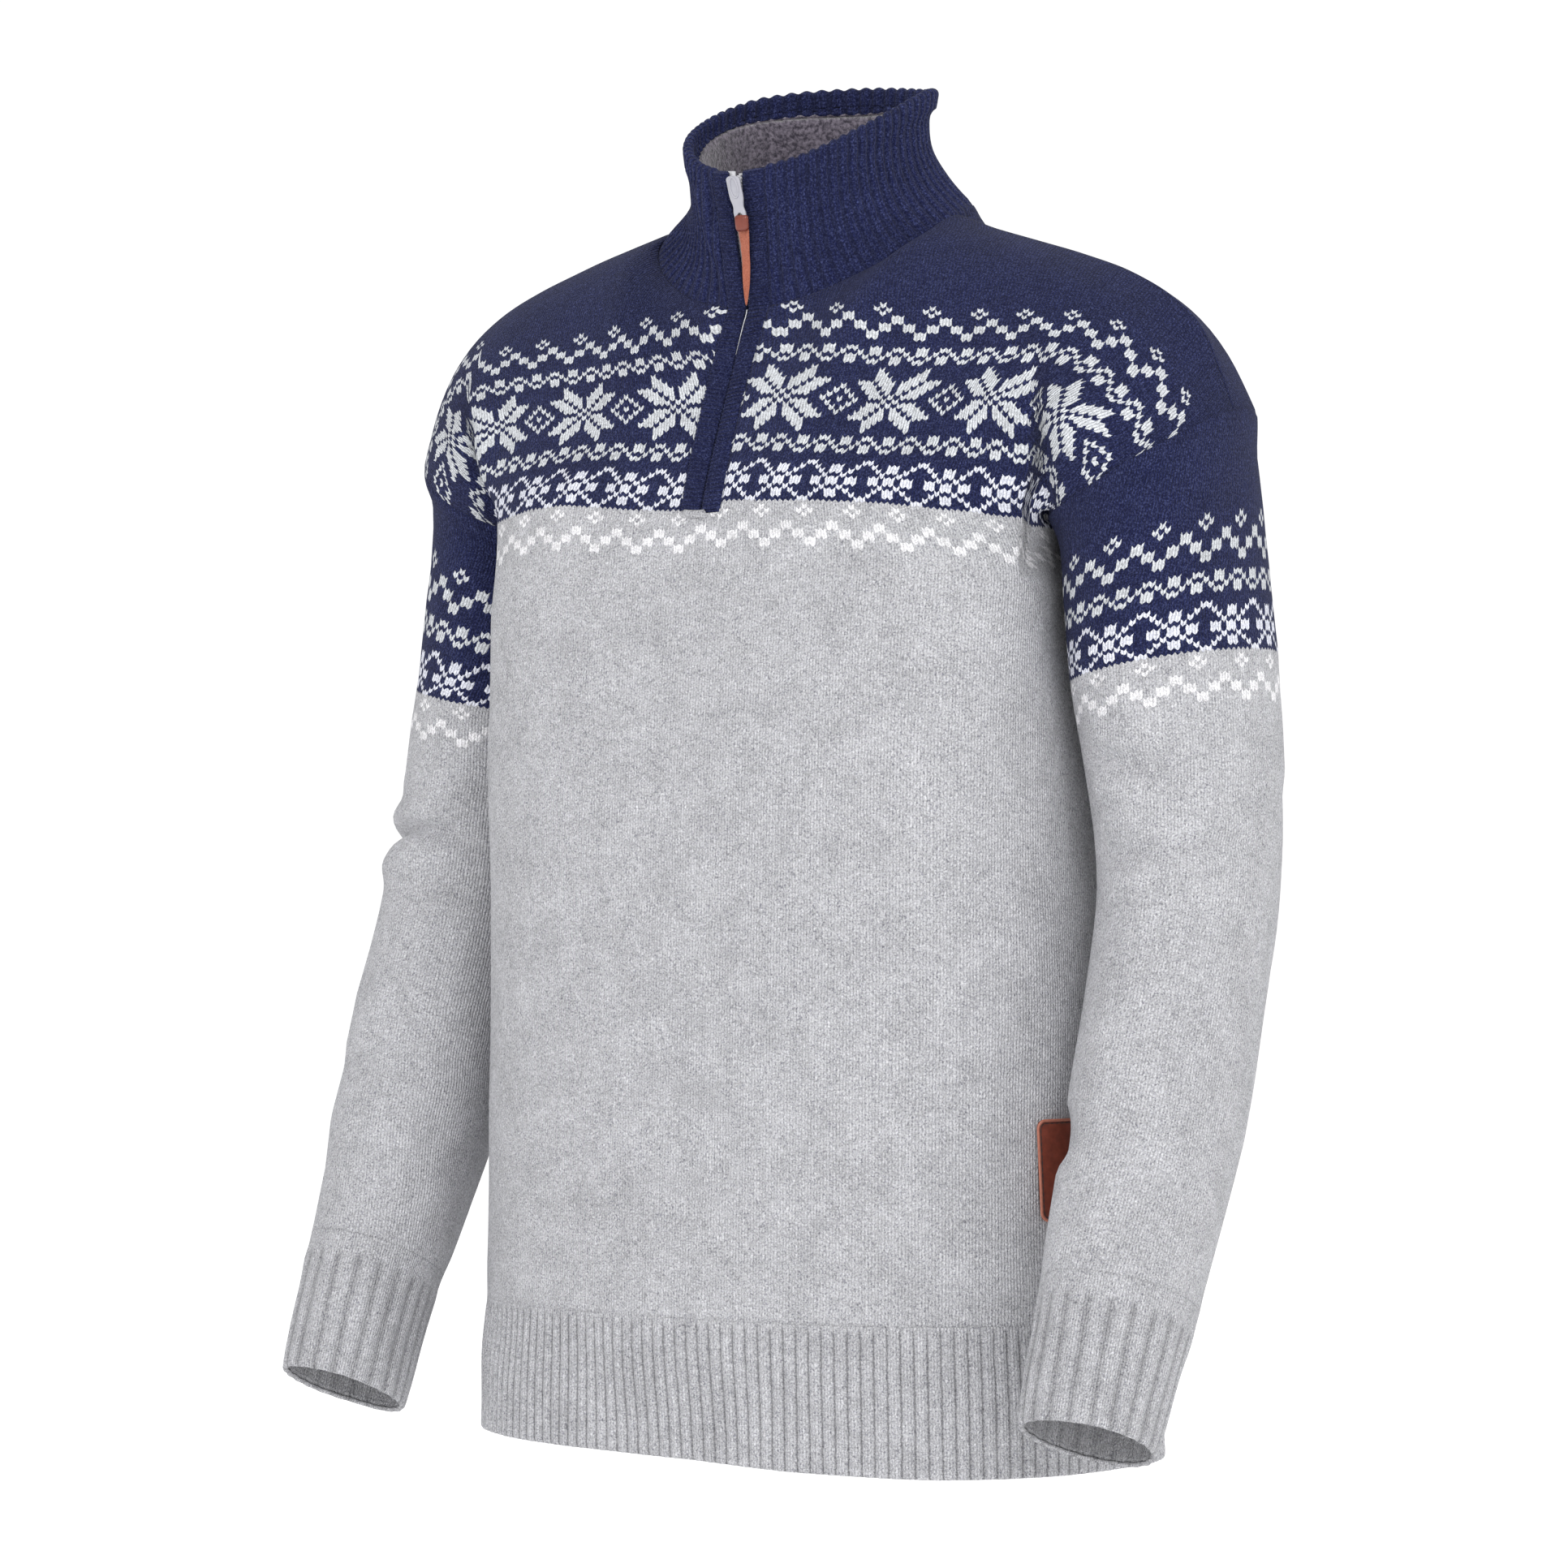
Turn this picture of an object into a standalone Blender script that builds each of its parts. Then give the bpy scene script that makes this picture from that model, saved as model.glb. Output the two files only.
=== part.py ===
"""Nordic yoke sweater with a half zip, held in the open shape it has when worn.

Metres, +Z up. The origin is the middle of the neck base, where the wearer's shoulders
carry the garment. The front faces -Y and the wearer's left is +X.

Every cloth piece is a grid of points on the worn form. Grids that are sewn together
share the points of their seam, so they share its normals too; each piece then stops
half a gap short of the seam and gets its wall by moving the grid inwards.
"""

from collections import defaultdict, namedtuple
from math import asin, atan2, copysign, cos, exp, pi, sin

import bmesh
import bpy
from mathutils import Matrix, Vector

COLLECTION = "nordic_yoke_sweater"

# Walls and gaps
KNIT = 0.0025
RIB = 0.0030
FOLDED_RIM = 0.0054
LINING = 0.0018
BAND = 0.0045
BAND_LIFT = 0.0012
SEAM_GAP = 0.00034
SKIN_GAP = 0.0004

# Body
UNDERARM_Z = -0.168
ARM_Y = 0.016
ARM_PRESS_SPREAD = 0.056
ARM_PRESS_FROM = 0.10
ARM_PRESS_FULL = 0.19

TorsoLevel = namedtuple("TorsoLevel", "z half_width front_y back_y squareness arm_press")
TORSO = [
    TorsoLevel(-0.680, 0.2015, -0.1300, 0.1270, 2.5, 0.000),
    TorsoLevel(-0.640, 0.1995, -0.1295, 0.1270, 2.5, 0.000),
    TorsoLevel(-0.600, 0.1970, -0.1285, 0.1260, 2.5, 0.000),
    TorsoLevel(-0.544, 0.1950, -0.1275, 0.1245, 2.6, 0.000),
    TorsoLevel(-0.490, 0.1935, -0.1265, 0.1225, 2.7, 0.000),
    TorsoLevel(-0.430, 0.1910, -0.1250, 0.1205, 2.8, 0.000),
    TorsoLevel(-0.370, 0.1890, -0.1235, 0.1185, 3.0, 0.003),
    TorsoLevel(-0.310, 0.1890, -0.1215, 0.1165, 3.2, 0.008),
    TorsoLevel(-0.265, 0.1890, -0.1188, 0.1150, 3.3, 0.0155),
    TorsoLevel(-0.220, 0.1892, -0.1145, 0.1130, 3.4, 0.0225),
    TorsoLevel(UNDERARM_Z, 0.1895, -0.1078, 0.1105, 3.5, 0.0235),
]
RIB_TOP_Z = -0.600

# Columns of the front and back, as shares of the way from the centre line to the side.
# Beyond the armhole's lower corner a panel ends at the underarm level.
SLOT = 0.047
NECK_SHARE = 0.32
NECK_COLUMNS = 5
ARMHOLE_CORNER = 0.83
SHOULDER_COLUMNS = [0.40, 0.48, 0.56, 0.64, 0.71, 0.775, ARMHOLE_CORNER]
UNDERARM_COLUMNS = [0.915, 1.0]

# Yoke, from the underarm level up to the shoulder, neck and armhole seams
YOKE_ROWS = [0.0, 0.08, 0.20, 0.32, 0.43, 0.53, 0.63, 0.72, 0.81, 0.90, 1.0]
PLACKET_FOOT = 0.08
SHOULDER_ROLL = 0.20
CHEST_LIFT = 0.50  # strength with which a column leaves the chest, at the middle
SHOULDER_LIFT = 1.15  # and under the shoulder
NECK_LEAN = 0.35
NECK_RISE = 0.90
BLEND_START_LOW = 0.76
BLEND_START_HIGH = 0.45
BLEND_RISE = 0.60
YOKE_SMOOTHING = 3

ShoulderPoint = namedtuple("ShoulderPoint", "share x y z")
SHOULDER = [
    ShoulderPoint(NECK_SHARE, 0.0960, 0.000, 0.004),
    ShoulderPoint(0.430, 0.1340, 0.002, -0.0085),
    ShoulderPoint(0.540, 0.1720, 0.003, -0.0195),
    ShoulderPoint(0.640, 0.2065, 0.005, -0.0315),
    ShoulderPoint(0.735, 0.2365, 0.009, -0.0510),
    ShoulderPoint(0.790, 0.2530, 0.0125, -0.0730),
    ShoulderPoint(ARMHOLE_CORNER, 0.2665, ARM_Y, -0.1120),
]

# Sleeves: rings whose planes lean by slope_x and slope_y
SleeveRing = namedtuple("SleeveRing", "z x y half_width half_depth slope_x slope_y")
SLEEVE = [
    SleeveRing(-0.1405, 0.2165, ARM_Y, 0.0500, 0.0680, 0.57, 0.17),
    SleeveRing(-0.1575, 0.2195, 0.0160, 0.0488, 0.0680, 0.47, 0.15),
    SleeveRing(-0.1980, 0.2210, 0.0170, 0.0487, 0.0675, 0.32, 0.08),
    SleeveRing(-0.2480, 0.2262, 0.0155, 0.0505, 0.0640, 0.20, 0.00),
    SleeveRing(-0.2950, 0.2335, 0.0140, 0.0490, 0.0610, 0.14, -0.03),
    SleeveRing(-0.3400, 0.2395, 0.0120, 0.0478, 0.0585, 0.10, -0.10),
    SleeveRing(-0.3850, 0.2425, 0.0045, 0.0465, 0.0565, 0.06, -0.20),
    SleeveRing(-0.4450, 0.2445, -0.0165, 0.0450, 0.0540, 0.05, -0.32),
    SleeveRing(-0.5150, 0.2468, -0.0455, 0.0428, 0.0505, 0.04, -0.37),
    SleeveRing(-0.5800, 0.2485, -0.0730, 0.0400, 0.0465, 0.035, -0.38),
]
CUFF = [
    SLEEVE[-1],
    SleeveRing(-0.6180, 0.2493, -0.0885, 0.0385, 0.0445, 0.03, -0.38),
    SleeveRing(-0.6550, 0.2500, -0.1020, 0.0375, 0.0430, 0.03, -0.38),
]

# Collar: rings from the neck seam to the folded rim, higher at the back
CollarRing = namedtuple("CollarRing", "half_width front_y back_y front_z side_z back_z wall")
COLLAR = [
    CollarRing(0.0960, -0.0620, 0.0780, -0.0470, 0.004, 0.010, RIB),
    CollarRing(0.0830, -0.0640, 0.0740, -0.0340, 0.018, 0.027, RIB),
    CollarRing(0.0745, -0.0670, 0.0720, -0.0160, 0.034, 0.045, RIB),
    CollarRing(0.0712, -0.0700, 0.0708, 0.0040, 0.050, 0.064, RIB),
    CollarRing(0.0715, -0.0718, 0.0708, 0.0130, 0.0575, 0.0725, RIB),
    CollarRing(0.0722, -0.0725, 0.0712, 0.0165, 0.0605, 0.0760, FOLDED_RIM),
    CollarRing(0.0712, -0.0735, 0.0705, 0.0270, 0.070, 0.086, FOLDED_RIM),
]
LINING_RINGS = 5

# Zip: the two bands part towards the top, over the chain and its tapes
BAND_WIDTH = 0.0115
GAP_TOP = 0.0048
GAP_FOOT = 0.0003
GAP_TOP_Z = 0.027
GAP_FOOT_Z = -0.075
CHAIN_HALF_WIDTH = 0.0025
CHAIN_WALL = 0.0015
CHAIN_GAP = 0.0009
TAPE_SHARE = 0.92
TAPE_WALL = 0.0008
ZIP_DEPTH = BAND - BAND_LIFT + SEAM_GAP

# Slider and pull, measured along the front edge of the collar
ZIP_TILT = -0.155
SLIDER_TOP = Vector((0.0, -0.0735, 0.0215))
SLIDER_SIZE = (0.0074, 0.0030, 0.0110)
SLIDER_SET_BACK = 0.0005
SLIDER_TAPER = 0.6
SLIDER_EDGE = 0.0004
HINGE_AHEAD = 0.0045
HINGE_BELOW = 0.0023
POST_SIZE = (0.0016, 0.0046, 0.0034)
POST_START = (0.0010, 0.0006)
POST_CLEARANCE = 0.0008
ARM_DEPTH = 0.0022
ARM_REACH = 0.0066
ARM_CENTRE = 0.0021
PULL_PLATE = (0.0066, 0.0012, 0.0200)
PLATE_START = 0.0046
PLATE_SET_BACK = 0.0002
TAB_LENGTH = 0.048
TAB_TOP_HALF = 0.0032
TAB_TIP_HALF = 0.0010
TAB_WALL = 0.0018
TAB_SET_BACK = 0.0014
TAB_EDGE = 0.0006

# Leather label on the front, low on the wearer's left
LABEL_COLUMNS = (0.775, ARMHOLE_CORNER, 0.915)
LABEL_Z = (-0.544, -0.490)
LABEL_WALL = 0.0016

Finish = namedtuple("Finish", "colour roughness metallic")
FINISHES = {
    "grey_knit": Finish((0.46, 0.46, 0.48, 1), 0.95, 0.0),
    "navy_knit": Finish((0.025, 0.035, 0.10, 1), 0.95, 0.0),
    "fleece": Finish((0.16, 0.13, 0.14, 1), 1.0, 0.0),
    "zip_tape": Finish((0.70, 0.70, 0.72, 1), 0.8, 0.0),
    "zip_metal": Finish((0.86, 0.86, 0.88, 1), 0.3, 1.0),
    "leather": Finish((0.20, 0.05, 0.025, 1), 0.55, 0.0),
}

SAME_SIDE = 0.7

# Pieces that lie under or over another one, with no seam of their own
UNSEWN = ("collar_lining", "zip_tape_left", "zip_tape_right", "zip_chain", "side_label")

Patch = namedtuple("Patch", "name finish grid closed walls lift skip centre")


def catmull(a, b, c, d, t):
    """Smooth value between b and c."""
    return b + 0.5 * t * (c - a + t * (2 * a - 5 * b + 4 * c - d + t * (3 * (b - c) + d - a)))


def read_table(table, key, value):
    """The row of a table at a key value, read smoothly between the rows given."""
    keys = [getattr(row, key) for row in table]
    rising = keys[-1] > keys[0]
    last = len(table) - 2
    k = 0
    while k < last and ((value > keys[k + 1]) if rising else (value < keys[k + 1])):
        k += 1
    t = (value - keys[k]) / (keys[k + 1] - keys[k])
    near = [table[max(k - 1, 0)], table[k], table[k + 1], table[min(k + 2, last + 1)]]
    columns = zip(*near)
    return type(table[0])(*(catmull(*column, t) for column in columns))


def smooth_step(low, high, value):
    t = min(max((value - low) / (high - low), 0.0), 1.0)
    return t * t * (3 - 2 * t)


def torso_outline(level, face, samples=96):
    """Half of a level's outline, from the centre line to the wearer's left side."""
    middle = 0.5 * (level.front_y + level.back_y)
    depth = 0.5 * (level.back_y - level.front_y)
    power = 2.0 / level.squareness
    reach = (ARM_Y - middle) / depth
    points = []
    for k in range(samples + 1):
        angle = 0.5 * pi * k / samples
        x = level.half_width * sin(angle) ** power
        y = middle + face * depth * (cos(angle) ** power * (1 - face * reach) + face * reach)
        press = level.arm_press * exp(-(((y - ARM_Y) / ARM_PRESS_SPREAD) ** 2))
        points.append(Vector((x - press * smooth_step(ARM_PRESS_FROM, ARM_PRESS_FULL, x), y, level.z)))
    return points


def along(points, share):
    """The point at a share of the length of a chain of points."""
    steps = [(b - a).length for a, b in zip(points, points[1:])]
    rest = share * sum(steps)
    for a, b, step in zip(points, points[1:], steps):
        if rest <= step:
            return a.lerp(b, rest / step)
        rest -= step
    return points[-1].copy()


def clamped(value, limit):
    return min(max(value, -limit), limit)


def mirrored(point, side):
    return Vector((copysign(1, side) * point.x, point.y, point.z))


def torso_point(face, share, level):
    """face is -1 on the front and 1 on the back; share runs from -1 to 1 across it."""
    return mirrored(along(torso_outline(level, face), abs(share)), share)


def collar_point(ring, angle):
    """angle is 0 at the centre front and pi at the centre back."""
    depth = -ring.front_y if cos(angle) > 0 else ring.back_y
    ends = 0.5 * (ring.front_z + ring.back_z)
    z = (
        0.5 * (ends + ring.side_z)
        - 0.5 * (ring.back_z - ring.front_z) * cos(angle)
        + 0.5 * (ends - ring.side_z) * cos(2 * angle)
    )
    return Vector((ring.half_width * sin(angle), -depth * cos(angle), z))


def band_gap(z):
    """Half the opening between the bands, which part towards the top of the zip."""
    t = (z - GAP_FOOT_Z) / (GAP_TOP_Z - GAP_FOOT_Z)
    return GAP_FOOT + (GAP_TOP - GAP_FOOT) * min(max(t, 0.0), 1.0)


def neck_angle(share, ring):
    """Angle round a collar ring of a column of the front; the slot edge runs straight."""
    slot = asin((BAND_WIDTH + band_gap(ring.front_z)) / ring.half_width)
    if abs(share) <= SLOT:
        return slot * abs(share) / SLOT
    return slot + (abs(share) - SLOT) / (NECK_SHARE - SLOT) * (0.5 * pi - slot)


def top_seam(face, share):
    """Where a column of the yoke ends: on the neck seam, or on the shoulder seam."""
    if abs(share) < NECK_SHARE:
        angle = neck_angle(share, COLLAR[0])
        return mirrored(collar_point(COLLAR[0], angle if face < 0 else pi - angle), share)
    row = read_table(SHOULDER, "share", abs(share))
    return mirrored(Vector((row.x, row.y, row.z)), share)


def sleeve_point(ring, angle):
    """angle is 0 on the outer line, pi on the underarm line and 1.5 pi at the front."""
    across = ring.half_width * cos(angle)
    ahead = ring.half_depth * sin(angle)
    rise = ring.slope_x * across + ring.slope_y * ahead
    return Vector((ring.x + across, ring.y + ahead, ring.z + rise))


def sleeve_angle(ring, point):
    """Angle of a point about the middle of a sleeve ring, from 0 to 2 pi."""
    return atan2((point.y - ring.y) / ring.half_depth, (point.x - ring.x) / ring.half_width) % (2 * pi)


def armhole_point(face, row):
    """Armhole seam of the wearer's left, from its lower corner to the shoulder tip."""
    ring = SLEEVE[0]
    corner = torso_point(face, ARMHOLE_CORNER, TORSO[-1])
    first = sleeve_angle(ring, corner)
    tip = 2 * pi if face < 0 else 0.0
    drop = corner - sleeve_point(ring, first)
    return sleeve_point(ring, first + (tip - first) * row) + drop * (1 - row) ** 3


def hermite(start, leave, end, arrive, t):
    t2, t3 = t * t, t * t * t
    return (
        start * (2 * t3 - 3 * t2 + 1)
        + leave * (t3 - 2 * t2 + t)
        + end * (3 * t2 - 2 * t3)
        + arrive * (t3 - t2)
    )


def yoke_column(face, share, row):
    """A column rises from the chest and rolls over the shoulder."""
    start = torso_point(face, share, TORSO[-1])
    end = top_seam(face, share)
    chord = (end - start).length
    over = smooth_step(0.0, NECK_SHARE, abs(share))
    below = torso_point(face, share, TORSO[-2])
    lift = CHEST_LIFT + (SHOULDER_LIFT - CHEST_LIFT) * over
    leave = (start - below).normalized() * chord * lift
    to_neck = Vector((0, -NECK_LEAN * face, NECK_RISE)) * chord
    over_shoulder = Vector((0, -face, 0)) * SHOULDER_ROLL
    arrive = to_neck.lerp(over_shoulder, over)
    return hermite(start, leave, end, arrive, row)


def yoke_point(face, share, row):
    """A yoke point; the columns near the armhole lean over to follow its seam."""
    point = yoke_column(face, share, row)
    rise = smooth_step(0.0, BLEND_RISE, row)
    first = BLEND_START_LOW + (BLEND_START_HIGH - BLEND_START_LOW) * rise
    blend = smooth_step(first, ARMHOLE_CORNER, abs(share))
    if blend:
        edge = yoke_column(face, copysign(ARMHOLE_CORNER, share), row)
        point += blend * (mirrored(armhole_point(face, row), share) - edge)
    return point


def body_columns():
    step = (NECK_SHARE - SLOT) / NECK_COLUMNS
    half = [SLOT + step * k for k in range(NECK_COLUMNS)] + [NECK_SHARE]
    half += SHOULDER_COLUMNS + UNDERARM_COLUMNS
    return [-share for share in reversed(half)] + [0.0] + half


def placket_slot(columns, first_row, rows):
    """Cells left out of the front for the zip and its bands."""
    middle = columns.index(0.0)
    return {(row, column) for row in range(first_row, rows) for column in (middle - 1, middle)}


def armhole_notches(columns, first_row, rows):
    """Cells left out of a panel beyond the lower corners of its armholes."""
    ends = len(UNDERARM_COLUMNS)
    outer = list(range(ends)) + [len(columns) - 2 - k for k in range(ends)]
    return {(row, column) for row in range(first_row, rows) for column in outer}


def smoothed(grid, first_row, columns):
    """The grid with its inner yoke points drawn towards the middle of their neighbours."""
    for _ in range(YOKE_SMOOTHING):
        before = [list(line) for line in grid]
        for row in range(first_row, len(grid) - 1):
            for column in columns:
                near = before[row][column - 1] + before[row][column + 1]
                near = near + before[row - 1][column] + before[row + 1][column]
                grid[row][column] = before[row][column].lerp(0.25 * near, 0.5)
    return grid


def body_panels():
    columns = body_columns()
    levels = [level for level in TORSO if level.z >= RIB_TOP_Z]
    rows = len(levels) + len(YOKE_ROWS) - 1
    foot = len(levels) - 1 + YOKE_ROWS.index(PLACKET_FOOT)
    for face, name, finish in ((-1, "front_panel", "grey_knit"), (1, "back_panel", "grey_knit")):
        grid = [[torso_point(face, share, level) for share in columns] for level in levels]
        for row in YOKE_ROWS[1:]:
            grid.append([yoke_point(face, clamped(share, ARMHOLE_CORNER), row) for share in columns])
        free = [k for k, share in enumerate(columns) if SLOT < abs(share) < ARMHOLE_CORNER]
        grid = smoothed(grid, len(levels) - 1, free)
        skip = armhole_notches(columns, len(levels) - 1, rows - 1)
        if face < 0:
            skip |= placket_slot(columns, foot, rows - 1)
        walls = [KNIT] * len(grid)
        yield Patch(name, finish, grid, False, walls, 0.0, skip, Vector((0, 0, -0.3)))


def hem_ribs():
    columns = body_columns()
    levels = [level for level in TORSO if level.z <= RIB_TOP_Z]
    for face, name in ((-1, "hem_rib_front"), (1, "hem_rib_back")):
        grid = [[torso_point(face, share, level) for share in columns] for level in levels]
        walls = [RIB] * len(grid)
        yield Patch(name, "navy_knit", grid, False, walls, 0.0, set(), Vector((0, 0, -0.64)))


def armhole_ring():
    """The sleeve's seam on the wearer's left, from the underarm forwards and round."""
    halves = []
    for face in (-1, 1):
        half = [torso_point(face, share, TORSO[-1]) for share in reversed(UNDERARM_COLUMNS)]
        halves.append(half + [armhole_point(face, row) for row in YOKE_ROWS])
    return halves[0] + list(reversed(halves[1][1:-1]))


def sleeves():
    for side, suffix in ((1, "left"), (-1, "right")):
        for name, finish, rings, wall in (
            ("sleeve_", "grey_knit", SLEEVE, KNIT),
            ("cuff_", "navy_knit", CUFF, RIB),
        ):
            seam = armhole_ring()
            angles = [sleeve_angle(SLEEVE[0], point) for point in seam]
            grid = [[mirrored(sleeve_point(ring, a), side) for a in angles] for ring in rings]
            if rings is SLEEVE:
                grid[0] = [mirrored(point, side) for point in seam]
            middle = Vector((side * rings[1].x, rings[1].y, rings[1].z))
            walls = [wall] * len(grid)
            yield Patch(name + suffix, finish, grid, True, walls, 0.0, set(), middle)


def collar_row(ring):
    """A ring's points from the right edge of the slot round the back to the left one."""
    front = [neck_angle(share, ring) for share in body_columns() if 0 < share <= NECK_SHARE]
    half = front + [pi - angle for angle in reversed(front[:-1])]
    angles = [-angle for angle in half] + [pi] + list(reversed(half))
    return [collar_point(ring, angle) for angle in angles]


def collar():
    middle = Vector((0, 0, 0.02))
    grid = [collar_row(ring) for ring in COLLAR]
    walls = [ring.wall for ring in COLLAR]
    yield Patch("collar", "navy_knit", grid, False, walls, 0.0, set(), middle)
    rings = grid[:LINING_RINGS]
    walls = [LINING] * LINING_RINGS
    lift = -(RIB + SKIN_GAP)
    yield Patch("collar_lining", "fleece", rings, False, walls, lift, set(), middle)


def zip_line(share):
    """Points up the zip at a share of the slot's half width from the centre line."""
    rows = [yoke_point(-1, share * SLOT, row) for row in YOKE_ROWS if row >= PLACKET_FOOT]
    angles = [neck_angle(share * SLOT, ring) for ring in COLLAR[1:]]
    rings = [mirrored(collar_point(r, a), share) for r, a in zip(COLLAR[1:], angles)]
    return rows + rings


def zip_strip(side, outer, inner_width):
    """Grid of a strip between a share of the slot and a distance from the centre."""
    grid = []
    for point, middle in zip(zip_line(side * outer), zip_line(0.0)):
        grid.append([point, middle.lerp(point, inner_width(point.z) / abs(point.x))])
    return grid


def zip_pieces():
    middle = Vector((0, 0, -0.05))
    for side, suffix in ((1, "left"), (-1, "right")):
        grid = zip_strip(side, 1.0, band_gap)
        walls = [BAND] * len(grid)
        name = "placket_band_" + suffix
        yield Patch(name, "navy_knit", grid, False, walls, BAND_LIFT, set(), middle)
        grid = zip_strip(side, TAPE_SHARE, lambda z: CHAIN_HALF_WIDTH + CHAIN_GAP)
        walls = [TAPE_WALL] * len(grid)
        name = "zip_tape_" + suffix
        yield Patch(name, "zip_tape", grid, False, walls, -ZIP_DEPTH, set(), middle)
    line = zip_line(0.0)
    grid = [[p - Vector((CHAIN_HALF_WIDTH, 0, 0)), p + Vector((CHAIN_HALF_WIDTH, 0, 0))] for p in line]
    walls = [CHAIN_WALL] * len(grid)
    yield Patch("zip_chain", "zip_tape", grid, False, walls, -ZIP_DEPTH, set(), middle)


def side_label():
    levels = [level for level in TORSO if level.z in LABEL_Z]
    grid = [[torso_point(-1, share, level) for share in LABEL_COLUMNS] for level in levels]
    walls = [LABEL_WALL] * len(grid)
    lift = LABEL_WALL + SKIN_GAP
    yield Patch("side_label", "leather", grid, False, walls, lift, set(), Vector((0, 0, -0.5)))


def cells(patch):
    """Index pairs of a patch's four-sided cells."""
    across = len(patch.grid[0])
    for row in range(len(patch.grid) - 1):
        for column in range(across if patch.closed else across - 1):
            if (row, column) not in patch.skip:
                beside = (column + 1) % across
                yield [(row, column), (row, beside), (row + 1, beside), (row + 1, column)]


def seam_key(point):
    return tuple(round(value, 6) for value in point)


def abs_key(point):
    """Sorts points the same way on both sides of a seam and of the garment."""
    return (round(abs(point.x), 6), round(point.y, 6), round(point.z, 6))


def patch_normals(patch):
    """Mean cell normal at each grid point, turned outwards as a whole."""
    sums = defaultdict(Vector)
    for cell in cells(patch):
        a, b, c, d = (patch.grid[row][column] for row, column in cell)
        normal = (c - a).cross(d - b)
        for corner in cell:
            sums[corner] = sums[corner] + normal
    outward = sum(n.dot(patch.grid[r][c] - patch.centre) for (r, c), n in sums.items())
    return {corner: n.normalized() * copysign(1, outward) for corner, n in sums.items()}


def into_piece(patch, row, column, present):
    """Direction from an edge point of a grid into its piece; zero inside the grid."""
    grid = patch.grid
    across = len(grid[0])
    rise = slide = 0
    for up in (-1, 0):
        for right in (-1, 0):
            corner = (row + up, (column + right) % across if patch.closed else column + right)
            if corner not in present:
                rise -= 2 * up + 1
                slide -= 2 * right + 1
    here = grid[row][column]
    direction = Vector()
    if rise:
        direction += (grid[row + (1 if rise > 0 else -1)][column] - here).normalized()
    if slide:
        direction += (grid[row][(column + (1 if slide > 0 else -1)) % across] - here).normalized()
    return direction


def edge_directions(patch, normals):
    present = set(cell[0] for cell in cells(patch))
    return {corner: into_piece(patch, *corner, present) for corner in normals}


def wall_mesh(patch, normals, trims):
    """Closed wall: the grid moved out by its lift, the same grid a wall further in,
    and rims along every open edge."""
    bm = bmesh.new()
    skins = []
    for layer in (0, 1):
        verts = {}
        for (row, column), normal in normals.items():
            depth = patch.lift - layer * patch.walls[row]
            point = patch.grid[row][column] + trims[row, column] + normal * depth
            verts[row, column] = bm.verts.new(point)
        skins.append(verts)
    edges = defaultdict(int)
    for cell in cells(patch):
        for layer, verts in enumerate(skins):
            a, b, c, d = (verts[corner] for corner in cell)
            mirror = not patch.closed and patch.grid[cell[0][0]][cell[0][1]].x < -1e-6
            for corners in ((a, b, d), (b, c, d)) if mirror else ((a, b, c), (a, c, d)):
                bm.faces.new(corners if layer == 0 else list(reversed(corners)))
        for start, end in zip(cell, cell[1:] + cell[:1]):
            edges[start, end] += 1
    for start, end in list(edges):
        if (end, start) not in edges:
            near, far = sorted((start, end), key=lambda c: abs_key(patch.grid[c[0]][c[1]]))
            outer, inner = skins
            bm.faces.new([outer[near], inner[near], inner[far]])
            bm.faces.new([outer[near], inner[far], outer[far]])
    bmesh.ops.recalc_face_normals(bm, faces=bm.faces)
    mesh = bpy.data.meshes.new(patch.name)
    bm.to_mesh(mesh)
    bm.free()
    return mesh


def finish_material(name):
    material = bpy.data.materials.get(name) or bpy.data.materials.new(name)
    material.use_nodes = True
    shader = material.node_tree.nodes["Principled BSDF"]
    finish = FINISHES[name]
    shader.inputs["Base Color"].default_value = finish.colour
    shader.inputs["Roughness"].default_value = finish.roughness
    shader.inputs["Metallic"].default_value = finish.metallic
    return material


def add_object(name, mesh, finish, collection):
    piece = bpy.data.objects.new(name, mesh)
    mesh.materials.append(finish_material(finish))
    collection.objects.link(piece)
    return piece


def seam_normal(normals):
    """Mean direction of the cloth at a seam; pieces that face the same way count once."""
    sides = []
    for normal in normals:
        same = [side for side in sides if side.normalized().dot(normal) > SAME_SIDE]
        if same:
            same[0] += normal
        else:
            sides.append(normal.copy())
    return sum((side.normalized() for side in sides), Vector()).normalized()


def seam_trims(own, others):
    """Half a seam gap away from the pieces sewn to this one."""
    mean = sum(others, Vector()) / max(len(others), 1)
    return (own - mean).normalized() * 0.5 * SEAM_GAP


def build_cloth(collection):
    patches = []
    for maker in (body_panels, hem_ribs, sleeves, collar, zip_pieces, side_label):
        patches.extend(maker())
    sewn_normals = defaultdict(list)
    sewn_edges = defaultdict(dict)
    own = []
    for patch in patches:
        normals = patch_normals(patch)
        edges = edge_directions(patch, normals)
        own.append((normals, edges))
        if patch.name not in UNSEWN:
            for (row, column), normal in normals.items():
                key = seam_key(patch.grid[row][column])
                sewn_normals[key].append(normal)
                sewn_edges[key][patch.name] = edges[row, column]
    for patch, (normals, edges) in zip(patches, own):
        shared = {}
        trims = {}
        for (row, column), normal in normals.items():
            key = seam_key(patch.grid[row][column])
            sewn = patch.name not in UNSEWN
            shared[row, column] = seam_normal(sewn_normals.get(key, [normal]))
            near = sewn_edges[key].items() if sewn else ()
            others = [edge for name, edge in near if name != patch.name]
            trims[row, column] = seam_trims(edges[row, column], others)
        add_object(patch.name, wall_mesh(patch, shared, trims), patch.finish, collection)


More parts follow.
